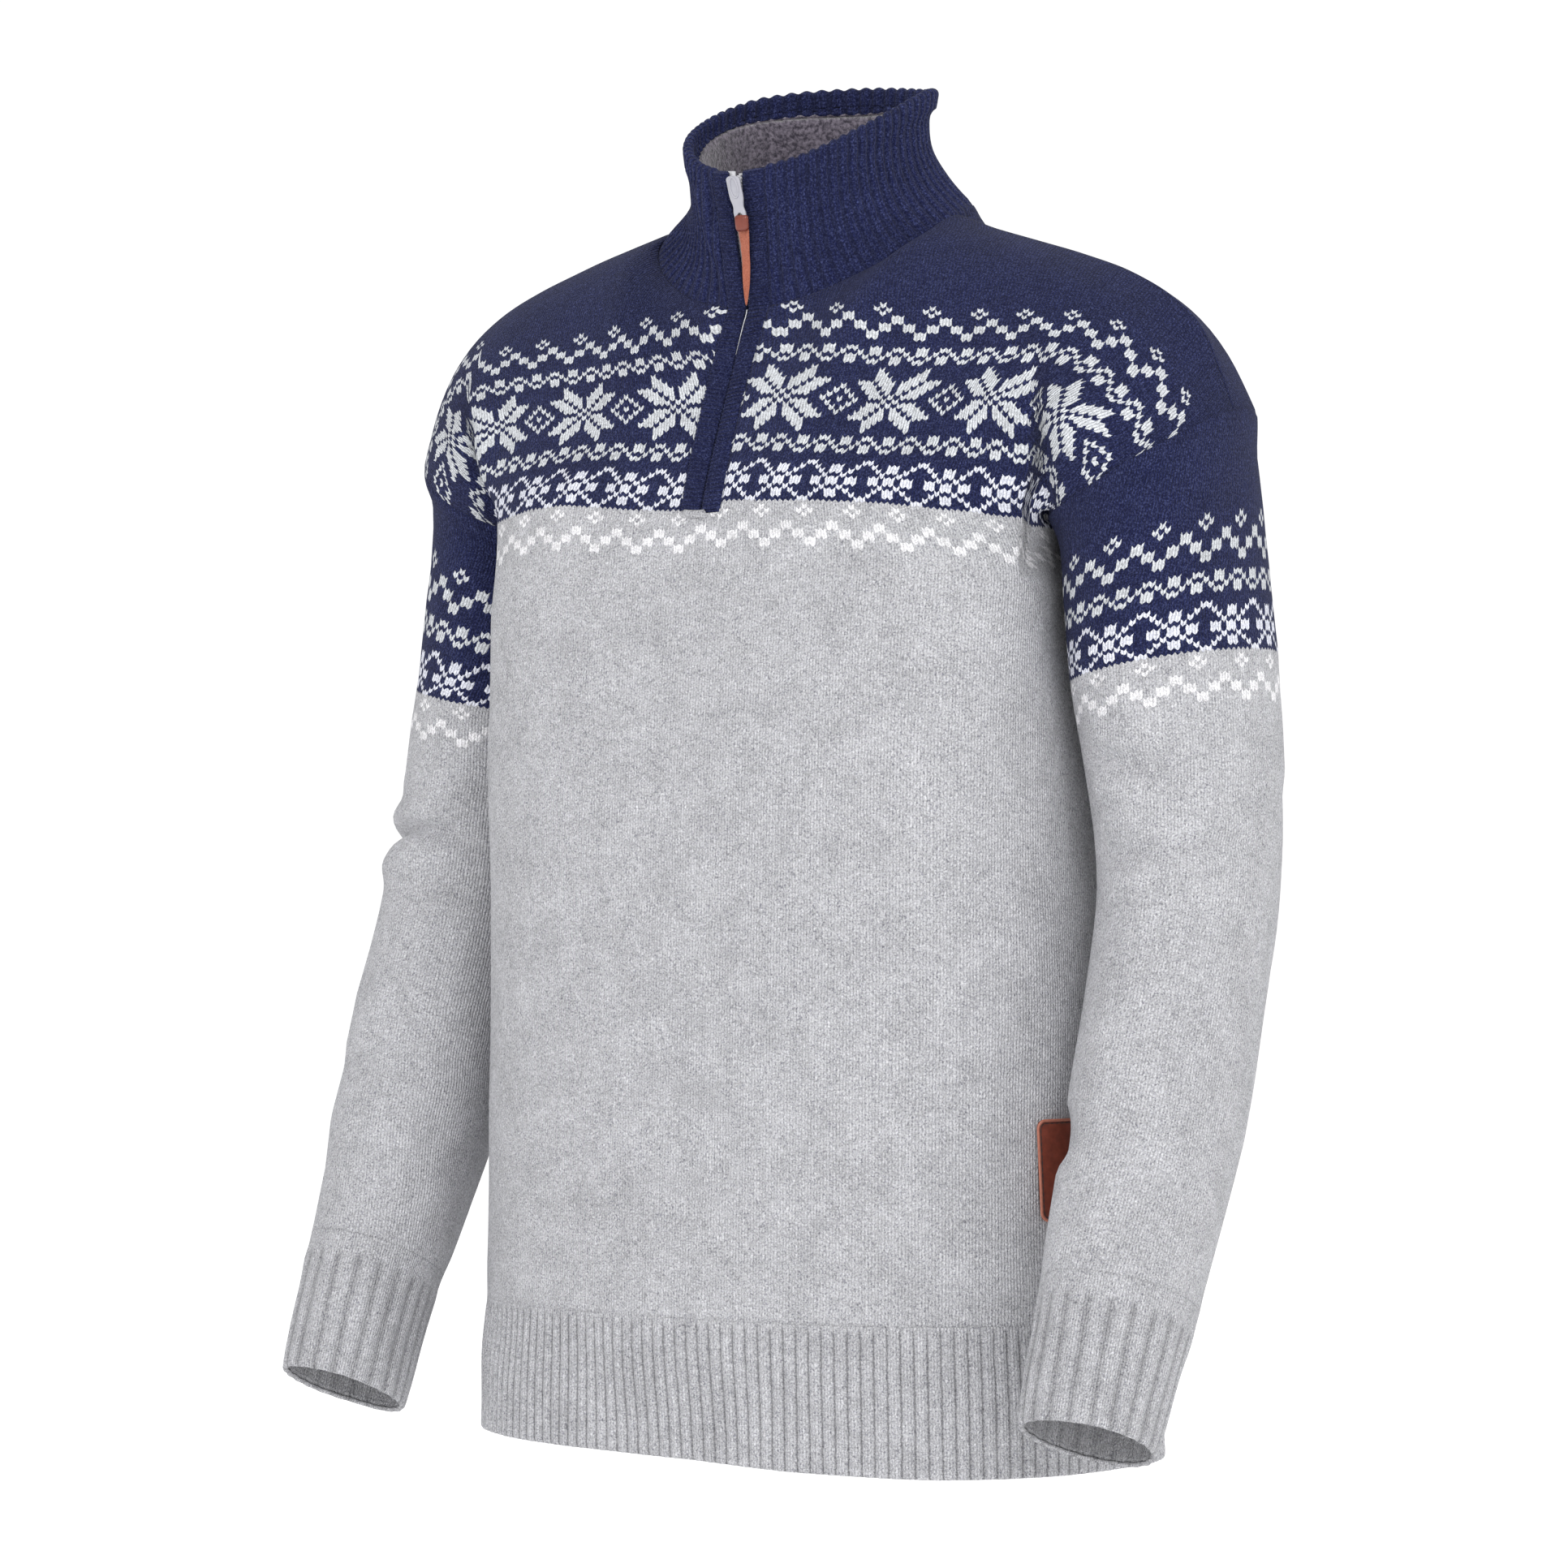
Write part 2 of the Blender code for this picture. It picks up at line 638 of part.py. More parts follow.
def box_mesh(bm, size, centre):
    made = bmesh.ops.create_cube(bm, size=1.0)["verts"]
    bmesh.ops.scale(bm, vec=size, verts=made)
    bmesh.ops.translate(bm, vec=centre, verts=made)
    return made


def zip_frame():
    """Frame at the slider's top: -Z runs down the zip and -Y points away from it."""
    return Matrix.Translation(SLIDER_TOP) @ Matrix.Rotation(-ZIP_TILT, 4, "X")


def joined_object(name, finish, pieces, collection):
    """Union of overlapping closed meshes."""
    base = add_object(name, pieces[0], finish, collection)
    cutters = bpy.data.collections["joined_shapes"]
    for k, mesh in enumerate(pieces[1:]):
        other = bpy.data.objects.new(f"{name}_shape_{k}", mesh)
        cutters.objects.link(other)
        other.hide_render = True
        other.display_type = "WIRE"
        union = base.modifiers.new(f"join_{k}", "BOOLEAN")
        union.operation = "UNION"
        union.object = other
    return base


def mesh_of(name, build, frame):
    bm = bmesh.new()
    build(bm)
    bmesh.ops.transform(bm, matrix=frame, verts=bm.verts)
    bmesh.ops.recalc_face_normals(bm, faces=bm.faces)
    mesh = bpy.data.meshes.new(name)
    bm.to_mesh(mesh)
    bm.free()
    return mesh


def slider_body(bm):
    width, depth, length = SLIDER_SIZE
    verts = box_mesh(bm, (width, depth, length), (0, SLIDER_SET_BACK - 0.5 * depth, -0.5 * length))
    foot = [v for v in verts if v.co.z < -0.5 * length]
    bmesh.ops.scale(bm, vec=(SLIDER_TAPER, 1, 1), verts=foot)
    bmesh.ops.bevel(bm, geom=bm.edges, offset=SLIDER_EDGE, segments=1, affect="EDGES")


def slider_post(bm):
    depth, length = POST_SIZE[1:]
    box_mesh(bm, POST_SIZE, (0, -0.5 * depth - POST_START[0], -0.5 * length - POST_START[1]))


def hinge_frame():
    """Frame on the pull's hinge line, which runs across the slider's post."""
    return zip_frame() @ Matrix.Translation((0, -HINGE_AHEAD, -HINGE_BELOW))


def pull_plate(bm):
    """Arms of the forked puller, on both sides of the slider's post."""
    width = PULL_PLATE[0]
    arm = 0.5 * (width - POST_SIZE[0]) - POST_CLEARANCE
    for side in (-1, 1):
        box_mesh(bm, (arm, ARM_DEPTH, ARM_REACH), (side * 0.5 * (width - arm), 0, -ARM_CENTRE))


def pull_stem(bm):
    """Plate below the arms."""
    width, wall, end = PULL_PLATE
    length = end - PLATE_START
    box_mesh(bm, (width, wall, length), (0, PLATE_SET_BACK, -PLATE_START - 0.5 * length))


def leather_tab(bm):
    verts = box_mesh(bm, (2 * TAB_TOP_HALF, TAB_WALL, TAB_LENGTH), (0, 0, -0.5 * TAB_LENGTH))
    tip = [v for v in verts if v.co.z < -0.5 * TAB_LENGTH]
    bmesh.ops.scale(bm, vec=(TAB_TIP_HALF / TAB_TOP_HALF, 1, 1), verts=tip)
    upright = [e for e in bm.edges if abs(e.verts[0].co.y - e.verts[1].co.y) > 0.5 * TAB_WALL]
    bmesh.ops.bevel(bm, geom=upright, offset=TAB_EDGE, segments=2, profile=0.5, affect="EDGES")


def build_zip_hardware(collection):
    frame = zip_frame()
    hinge = hinge_frame()
    slider = [mesh_of("slider_body", slider_body, frame), mesh_of("slider_post", slider_post, frame)]
    joined_object("zip_slider", "zip_metal", slider, collection)
    plate = [
        mesh_of("pull_stem", pull_stem, hinge),
        mesh_of("pull_arms", pull_plate, hinge),
    ]
    joined_object("zip_puller", "zip_metal", plate, collection)
    below = hinge @ Matrix.Translation((0, TAB_SET_BACK, -PULL_PLATE[2] - SEAM_GAP))
    add_object("pull_tab", mesh_of("pull_tab", leather_tab, below), "leather", collection)


def main():
    for item in list(bpy.data.objects):
        bpy.data.objects.remove(item, do_unlink=True)
    collection = bpy.data.collections.new(COLLECTION)
    bpy.context.scene.collection.children.link(collection)
    shapes = bpy.data.collections.new("joined_shapes")
    bpy.context.scene.collection.children.link(shapes)
    build_cloth(collection)
    build_zip_hardware(collection)


main()
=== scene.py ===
# Looks of a nordic yoke sweater with a half zip: knitted shells, ribs, zip, leather and studio
from math import asin, atan2, cos, pi, radians, sin

import bmesh
import bpy
import numpy as np
from mathutils import Matrix, Vector, noise


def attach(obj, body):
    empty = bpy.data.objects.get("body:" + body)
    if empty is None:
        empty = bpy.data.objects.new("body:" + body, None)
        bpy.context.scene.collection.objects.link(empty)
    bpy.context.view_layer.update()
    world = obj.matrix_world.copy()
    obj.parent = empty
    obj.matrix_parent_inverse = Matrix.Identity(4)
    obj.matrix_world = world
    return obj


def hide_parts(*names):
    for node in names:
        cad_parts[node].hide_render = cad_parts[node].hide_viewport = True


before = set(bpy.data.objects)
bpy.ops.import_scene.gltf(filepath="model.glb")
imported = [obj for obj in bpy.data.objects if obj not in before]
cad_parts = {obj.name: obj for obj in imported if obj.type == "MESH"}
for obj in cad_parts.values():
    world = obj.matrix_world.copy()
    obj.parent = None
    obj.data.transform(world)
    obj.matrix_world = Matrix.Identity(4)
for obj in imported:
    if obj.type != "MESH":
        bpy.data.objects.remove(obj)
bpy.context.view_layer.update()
print("frame loaded")

# Form of the worn garment, in metres. Each table has its columns named above it.
armY = 0.016
pressSpread = 0.056
# z, half width, front y, back y, squareness, press of the arm
torsoRows = np.array([
    [-0.680, 0.2015, -0.1300, 0.1270, 2.5, 0.0],
    [-0.640, 0.1995, -0.1295, 0.1270, 2.5, 0.0],
    [-0.600, 0.1970, -0.1285, 0.1260, 2.5, 0.0],
    [-0.544, 0.1950, -0.1275, 0.1245, 2.6, 0.0],
    [-0.490, 0.1935, -0.1265, 0.1225, 2.7, 0.0],
    [-0.430, 0.1910, -0.1250, 0.1205, 2.8, 0.0],
    [-0.370, 0.1890, -0.1235, 0.1185, 3.0, 0.003],
    [-0.310, 0.1890, -0.1215, 0.1165, 3.2, 0.008],
    [-0.265, 0.1890, -0.1188, 0.1150, 3.3, 0.0155],
    [-0.220, 0.1892, -0.1145, 0.1130, 3.4, 0.0225],
    [-0.168, 0.1895, -0.1078, 0.1105, 3.5, 0.0235],
])
ribRow, underarmRow = 2, len(torsoRows) - 1  # rows where the hem rib and the yoke start
slot, neckShare, cornerShare = 0.047, 0.32, 0.83
halfColumns = list(slot + (neckShare - slot) / 5 * np.arange(5)) + [neckShare]
halfColumns += [0.40, 0.48, 0.56, 0.64, 0.71, 0.775, cornerShare, 0.915, 1.0]
columnShares = [-s for s in reversed(halfColumns)] + [0.0] + halfColumns
middleColumn = len(halfColumns)
yokeRows = [0.0, 0.08, 0.20, 0.32, 0.43, 0.53, 0.63, 0.72, 0.81, 0.90, 1.0]
# share, x, y, z of the shoulder seam
shoulderRows = np.array([
    [0.320, 0.0960, 0.0000, 0.0040],
    [0.430, 0.1340, 0.0020, -0.0085],
    [0.540, 0.1720, 0.0030, -0.0195],
    [0.640, 0.2065, 0.0050, -0.0315],
    [0.735, 0.2365, 0.0090, -0.0510],
    [0.790, 0.2530, 0.0125, -0.0730],
    [0.830, 0.2665, 0.0160, -0.1120],
])
# z, x, y, half width, half depth, slope along x, slope along y
sleeveRows = np.array([
    [-0.1405, 0.2165, 0.0160, 0.0500, 0.0680, 0.57, 0.17],
    [-0.1575, 0.2195, 0.0160, 0.0488, 0.0680, 0.47, 0.15],
    [-0.1980, 0.2210, 0.0170, 0.0487, 0.0675, 0.32, 0.08],
    [-0.2480, 0.2262, 0.0155, 0.0505, 0.0640, 0.20, 0.00],
    [-0.2950, 0.2335, 0.0140, 0.0490, 0.0610, 0.14, -0.03],
    [-0.3400, 0.2395, 0.0120, 0.0478, 0.0585, 0.10, -0.10],
    [-0.3850, 0.2425, 0.0045, 0.0465, 0.0565, 0.06, -0.20],
    [-0.4450, 0.2445, -0.0165, 0.0450, 0.0540, 0.05, -0.32],
    [-0.5150, 0.2468, -0.0455, 0.0428, 0.0505, 0.04, -0.37],
    [-0.5800, 0.2485, -0.0730, 0.0400, 0.0465, 0.035, -0.38],
])
cuffRows = np.array([
    sleeveRows[-1],
    [-0.6180, 0.2493, -0.0885, 0.0385, 0.0445, 0.03, -0.38],
    [-0.6550, 0.2500, -0.1020, 0.0375, 0.0430, 0.03, -0.38],
])
# half width, front y, back y, front z, side z, back z
collarRows = np.array([
    [0.0960, -0.0620, 0.0780, -0.0470, 0.0040, 0.0100],
    [0.0830, -0.0640, 0.0740, -0.0340, 0.0180, 0.0270],
    [0.0745, -0.0670, 0.0720, -0.0160, 0.0340, 0.0450],
    [0.0712, -0.0700, 0.0708, 0.0040, 0.0500, 0.0640],
    [0.0715, -0.0718, 0.0708, 0.0130, 0.0575, 0.0725],
    [0.0722, -0.0725, 0.0712, 0.0165, 0.0605, 0.0760],
    [0.0712, -0.0735, 0.0705, 0.0270, 0.0700, 0.0860],
])
bandWidth = 0.0115


def smoothStep(low, high, value):
    t = np.clip((value - low) / (high - low), 0.0, 1.0)
    return t * t * (3 - 2 * t)


def bump(away, width):  # 1 at a place, and falling off softly on both sides of it
    return np.exp(-((away / width) ** 2))


def stepLengths(points):  # from each point of a line to the next
    return np.linalg.norm(np.diff(points, axis=0), axis=1)


def runningLength(points):
    return np.concatenate([[0], np.cumsum(stepLengths(points))])


def unit(vectors):
    return vectors / np.linalg.norm(vectors, axis=-1, keepdims=True)


def splineAt(values, where, closed=False):  # smooth curve through values, read at fractional indices
    values, where = np.asarray(values, float), np.asarray(where, float)
    count = len(values)
    k = np.floor(where).astype(int)
    k = k % count if closed else np.clip(k, 0, count - 2)
    t = (where - np.floor(where) if closed else where - k).reshape([-1] + [1] * (values.ndim - 1))
    near = [(k + n) % count if closed else np.clip(k + n, 0, count - 1) for n in (-1, 0, 1, 2)]
    a, b, c, d = (values[n] for n in near)
    return b + 0.5 * t * (c - a + t * (2 * a - 5 * b + 4 * c - d + t * (3 * (b - c) + d - a)))


def readRows(rows, value):  # a table row at a value of its first column
    where = np.interp(value, rows[:, 0], np.arange(len(rows)))
    return splineAt(rows, [where])[0]


def outlinePoint(row, face, share):  # face -1 is the front; share runs from -1 to 1 across it
    z, halfWidth, frontY, backY, squareness, armPress = row
    middle, depth = (frontY + backY) / 2, (backY - frontY) / 2
    angle = np.linspace(0, pi / 2, 97)
    x = halfWidth * np.sin(angle) ** (2 / squareness)
    reach = (armY - middle) / depth
    y = middle + face * depth * (np.cos(angle) ** (2 / squareness) * (1 - face * reach) + face * reach)
    x = x - armPress * bump(y - armY, pressSpread) * smoothStep(0.10, 0.19, x)
    along = np.concatenate([[0], np.cumsum(np.hypot(np.diff(x), np.diff(y)))])
    stop = abs(share) * along[-1]
    return np.array([np.copysign(np.interp(stop, along, x), share), np.interp(stop, along, y), z])


def mirrored(point, side):
    return np.array([np.copysign(1, side) * point[0], point[1], point[2]])


def collarPoint(ring, angle):  # angle 0 is the centre front, pi the centre back
    halfWidth, frontY, backY, frontZ, sideZ, backZ = ring
    depth = -frontY if cos(angle) > 0 else backY
    ends = (frontZ + backZ) / 2
    z = (ends + sideZ) / 2 - (backZ - frontZ) / 2 * cos(angle) + (ends - sideZ) / 2 * cos(2 * angle)
    return np.array([halfWidth * sin(angle), -depth * cos(angle), z])


def bandGap(z):  # half the opening between the placket bands
    return 0.0003 + 0.0045 * min(max((z + 0.075) / 0.102, 0.0), 1.0)


def neckAngle(share, ring):
    edge = asin((bandWidth + bandGap(ring[3])) / ring[0])
    if abs(share) <= slot:
        return edge * abs(share) / slot
    return edge + (abs(share) - slot) / (neckShare - slot) * (pi / 2 - edge)


def topSeam(face, share):
    if abs(share) < neckShare:
        angle = neckAngle(share, collarRows[0])
        return mirrored(collarPoint(collarRows[0], angle if face < 0 else pi - angle), share)
    return mirrored(readRows(shoulderRows, abs(share))[1:], share)


def sleevePoint(ring, angle):  # angle 0 is the outer line, pi the underarm, 1.5 pi the front
    z, x, y, halfWidth, halfDepth, slopeX, slopeY = ring
    across, ahead = halfWidth * cos(angle), halfDepth * sin(angle)
    return np.array([x + across, y + ahead, z + slopeX * across + slopeY * ahead])


def sleeveAngle(ring, point):
    return atan2((point[1] - ring[2]) / ring[4], (point[0] - ring[1]) / ring[3]) % (2 * pi)


def armholePoint(face, row):
    ring = sleeveRows[0]
    corner = outlinePoint(torsoRows[-1], face, cornerShare)
    first = sleeveAngle(ring, corner)
    tip = 2 * pi if face < 0 else 0.0
    drop = corner - sleevePoint(ring, first)
    return sleevePoint(ring, first + (tip - first) * row) + drop * (1 - row) ** 3


def yokeColumn(face, share, row):
    start = outlinePoint(torsoRows[-1], face, share)
    end = topSeam(face, share)
    chord = np.linalg.norm(end - start)
    over = smoothStep(0.0, neckShare, abs(share))
    up = start - outlinePoint(torsoRows[-2], face, share)
    leave = up / np.linalg.norm(up) * chord * (0.50 + 0.65 * over)
    arrive = np.array([0, -0.35 * face, 0.9]) * chord * (1 - over) + np.array([0, -face, 0]) * 0.20 * over
    t2, t3 = row * row, row ** 3
    return (start * (2 * t3 - 3 * t2 + 1) + leave * (t3 - 2 * t2 + row)
            + end * (3 * t2 - 2 * t3) + arrive * (t3 - t2))


def yokePoint(face, share, row):
    point = yokeColumn(face, share, row)
    first = 0.76 - 0.31 * smoothStep(0.0, 0.60, row)
    blend = smoothStep(first, cornerShare, abs(share))
    if blend:
        edge = yokeColumn(face, np.copysign(cornerShare, share), row)
        point = point + blend * (mirrored(armholePoint(face, row), share) - edge)
    return point


def bodyCage(face):  # rows from the hem to the shoulder, columns across
    cage = [[outlinePoint(level, face, s) for s in columnShares] for level in torsoRows]
    for row in yokeRows[1:]:
        cage.append([yokePoint(face, min(max(s, -cornerShare), cornerShare), row) for s in columnShares])
    cage = np.array(cage)
    free = [k for k, s in enumerate(columnShares) if slot < abs(s) < cornerShare]
    rows = range(underarmRow, len(cage) - 1)
    for _ in range(3):  # eases the yoke, as the cloth does
        before = cage.copy()
        for row in rows:
            for k in free:
                near = before[row, k - 1] + before[row, k + 1] + before[row - 1, k] + before[row + 1, k]
                cage[row, k] = before[row, k] / 2 + near / 8
    return cage


def armholeRing():  # from the underarm forwards and round to it again
    halves = []
    for face in (-1, 1):
        low = [outlinePoint(torsoRows[-1], face, s) for s in (1.0, 0.915)]
        halves.append(low + [armholePoint(face, row) for row in yokeRows])
    return np.array(halves[0] + halves[1][1:-1][::-1])


def sleeveCage(rows):
    seam = armholeRing()
    angles = [sleeveAngle(sleeveRows[0], point) for point in seam]
    cage = np.array([[sleevePoint(ring, a) for a in angles] for ring in rows])
    if rows is sleeveRows:
        cage[0] = seam
    return cage


def collarAngles(ring):
    front = [neckAngle(s, ring) for s in columnShares if 0 < s <= neckShare + 1e-9]
    half = front + [pi - a for a in reversed(front[:-1])]
    return half + [pi] + [-a for a in reversed(half)]


def divided(lengths, spacing):  # fractional indices about one spacing apart, with every cage line kept
    where = []
    for k, length in enumerate(lengths):
        parts = max(1, int(round(length / spacing)))
        where += [k + n / parts for n in range(parts)]
    return np.array(where + [len(lengths)])


def finePoints(cage, rowWhere, columnWhere, closed=False):
    fine = splineAt(cage, rowWhere)
    return splineAt(fine.swapaxes(0, 1), columnWhere, closed).swapaxes(0, 1)


def gridNormals(points, closed=False):
    if closed:
        ring = np.concatenate([points[:, -2:-1], points, points[:, 1:2]], 1)
        across = np.gradient(ring, axis=1)[:, 1:-1]
    else:
        across = np.gradient(points, axis=1)
    normal = np.cross(across, np.gradient(points, axis=0))
    return normal / np.maximum(np.linalg.norm(normal, axis=2, keepdims=True), 1e-9)


def arcLengths(points, axis):  # running length along an axis of a grid
    steps = np.linalg.norm(np.diff(points, axis=axis), axis=2)
    first = np.zeros_like(np.take(steps, [0], axis))
    return np.cumsum(np.concatenate([first, steps], axis), axis)


def meshFrom(bm, name):
    mesh = bpy.data.meshes.new(name)
    bm.to_mesh(mesh)
    bm.free()
    return mesh


def gridMesh(name, points, cloth, hole=None, closed=False):  # points and cloth are grids
    rows, columns = points.shape[:2]
    bm = bmesh.new()
    layer = bm.loops.layers.uv.new("cloth")
    bmesh.ops.create_grid(bm, x_segments=columns - 1, y_segments=rows - 1, size=0.5)
    for vert in bm.verts:
        vert.co = points[divmod(vert.index, columns)]
    for face in bm.faces:
        for loop in face.loops:
            loop[layer].uv = cloth[divmod(loop.vert.index, columns)]
    if hole is not None:
        bm.faces.ensure_lookup_table()
        gone = [bm.faces[k] for k in np.flatnonzero(hole.reshape(-1))]
        bmesh.ops.delete(bm, geom=gone, context="FACES")
    if closed:
        bmesh.ops.remove_doubles(bm, verts=bm.verts, dist=1e-6)
    for face in bm.faces:
        face.smooth = True
    return meshFrom(bm, name)


def addObject(name, data):
    made = bpy.data.objects.new(name, data)
    bpy.context.scene.collection.objects.link(made)
    return made


def addPiece(name, mesh, material, body, node, wall=0.0):
    piece = addObject(name, mesh)
    mesh.materials.append(material)
    if wall:
        shell = piece.modifiers.new("wall", "SOLIDIFY")
        shell.thickness = wall
        shell.offset = -1
    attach(piece, body)
    if node:
        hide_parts(node)
    return piece


def newMaterial(name):
    material = bpy.data.materials.new(name)
    material.use_nodes = True
    return material, material.node_tree, material.node_tree.nodes["Principled BSDF"]


def linear(code):  # sRGB hex to linear colour
    parts = [int(code[k:k + 2], 16) / 255 for k in (1, 3, 5)]
    return [p / 12.92 if p <= 0.04045 else ((p + 0.055) / 1.055) ** 2.4 for p in parts] + [1.0]


def addNode(tree, kind, name, inputs=None, **settings):  # an input is a value, a socket or an earlier node's name
    node = tree.nodes.new("ShaderNode" + kind)
    node.name = name
    for key, value in settings.items():
        setattr(node, key, value)
    for key, value in (inputs or {}).items():
        if isinstance(value, str):
            value = next(socket for socket in tree.nodes[value].outputs if socket.enabled)
        if isinstance(value, bpy.types.NodeSocket):
            tree.links.new(value, node.inputs[key])
        else:
            node.inputs[key].default_value = value
    return node


# Traditional motifs, one letter a stitch, top row first. The star and the flower are mirrored downwards.
motifs = dict(
    dots=["....X...", "...X.X..", "....X..."],
    zigzag=["XX......"] * 2 + ["..XX..XX"] * 2 + ["....XX.."] * 2,
    peerie=["X..XX..X", "X.X..X.X", ".X.XX.X.", "X..XX..X"],
    star=["......X.......X.....", "......XX.....XX.....", "......XXX...XXX.....", "...XXX.XXX.XXX.XXX..",
          "X...XXX.XX.XX.XXX...", ".X...XXX.X.X.XXX...X", "..X...XXX.X.XXX...X.", "X..X.....X.X.....X.."],
    flower=["X........X", ".X..XX..X.", "..X.XX.X..", "...X..X...", ".XX.XX.XX."],
)
motifs["star"] += motifs["star"][-2::-1]
motifs["flower"] += motifs["flower"][::-1]
plainRow = ["........"]
underBoundary = plainRow + motifs["dots"] + plainRow + motifs["zigzag"]
bodyTop = [line[4:] + line[:4] for line in motifs["dots"]] + [line[6:] + line[:6] for line in motifs["zigzag"]]
bodyChart = (bodyTop + plainRow * 2 + motifs["peerie"] + plainRow + motifs["star"]
             + plainRow + motifs["peerie"] + plainRow * 2 + motifs["flower"])
sleeveChart = motifs["dots"] + motifs["zigzag"] + plainRow * 2 + motifs["peerie"] + plainRow * 2 + motifs["flower"]


def addChart(tree, chart):  # node isPattern is 1 where the chart has a stitch in the second yarn
    rows = plainRow + chart + underBoundary + plainRow
    addNode(tree, "Math", "fromTop", {0: len(chart) - 1.0, 1: "row"}, operation="SUBTRACT")
    addNode(tree, "Math", "chartPlace", {0: "fromTop", 1: 1 / len(rows), 2: 1.5 / len(rows)},
            operation="MULTIPLY_ADD")
    for period in (8, 20):
        name = f"repeat{period}"
        node = addNode(tree, "ValToRGB", name, {"Fac": "chartPlace"})
        ramp = node.color_ramp
        ramp.interpolation = "CONSTANT"
        ramp.elements.remove(ramp.elements[1])
        last = None
        for k, line in enumerate(rows):  # each row's stitches as the bits of two numbers
            isHere = (len(line) > 8) == (period > 8)
            line = line * (period // len(line)) if isHere else "." * period
            bits = [sum(1 << c for c in range(len(part)) if part[c] == "X") for part in (line[:10], line[10:])]
            if bits != last:
                element = ramp.elements.new(k / len(rows)) if k else ramp.elements[0]
                element.color = (bits[0] / 1024, bits[1] / 1024, 0.0, 1.0)
                last = bits
        first, second = addNode(tree, "SeparateColor", name + "Parts", {0: node.outputs["Color"]}).outputs[:2]
        for step, operation, *operands in [
            ("inRepeat", "FLOORED_MODULO", "column", float(period)),
            ("late", "GREATER_THAN", "inRepeat", 9.5),
            ("change", "SUBTRACT", second, first),
            ("mask", "MULTIPLY_ADD", "change", "late", first),
            ("bitPlace", "MULTIPLY_ADD", "late", -10.0, "inRepeat"),
            ("divisor", "POWER", 2.0, "bitPlace"),
            ("scaled", "MULTIPLY_ADD", "mask", 1024.0, 0.01),
            ("shifted", "DIVIDE", "scaled", "divisor"),
            ("whole", "FLOOR", "shifted"),
            ("bit", "FLOORED_MODULO", "whole", 2.0),
        ]:
            inputs = {k: name + part if isinstance(part, str) and part != "column" else part
                      for k, part in enumerate(operands)}
            addNode(tree, "Math", name + step, inputs, operation=operation)
    addNode(tree, "Math", "isPattern", {0: "repeat8bit", 1: "repeat20bit"}, operation="MAXIMUM")
    whiteFrom = len(chart) - len(motifs["flower"]) - 0.5
    addNode(tree, "Math", "isWhite", {0: "fromTop", 1: whiteFrom}, operation="GREATER_THAN")


yarns = dict(navy="#0e143c", navyHair="#434a74", grey="#bdbdc1", greyHair="#d6d6d8", greyDark="#80808a",
             fleck="#4a4a54", light="#d2d5da", white="#e4e6f2", undyed="#e9e8eb")
# stitch size, slope of its legs and their place in it, depth of the knitting, row where navy starts, unevenness
# of the stitches and their edges, painted shade in the gaps, and the grooves between ribs with their painted shade
stocking = dict(width=0.00364, height=0.00235, slope=1.2, leg=0.25, depth=0.0006, navyFrom=0, chart=None,
                drift=0.0008, fray=0.0013, gapShade=0.12, navyGapShade=0.26, ribs=1.0, groove=0.0, grooveShadeAmount=0.0,
                ribTop=1.0)


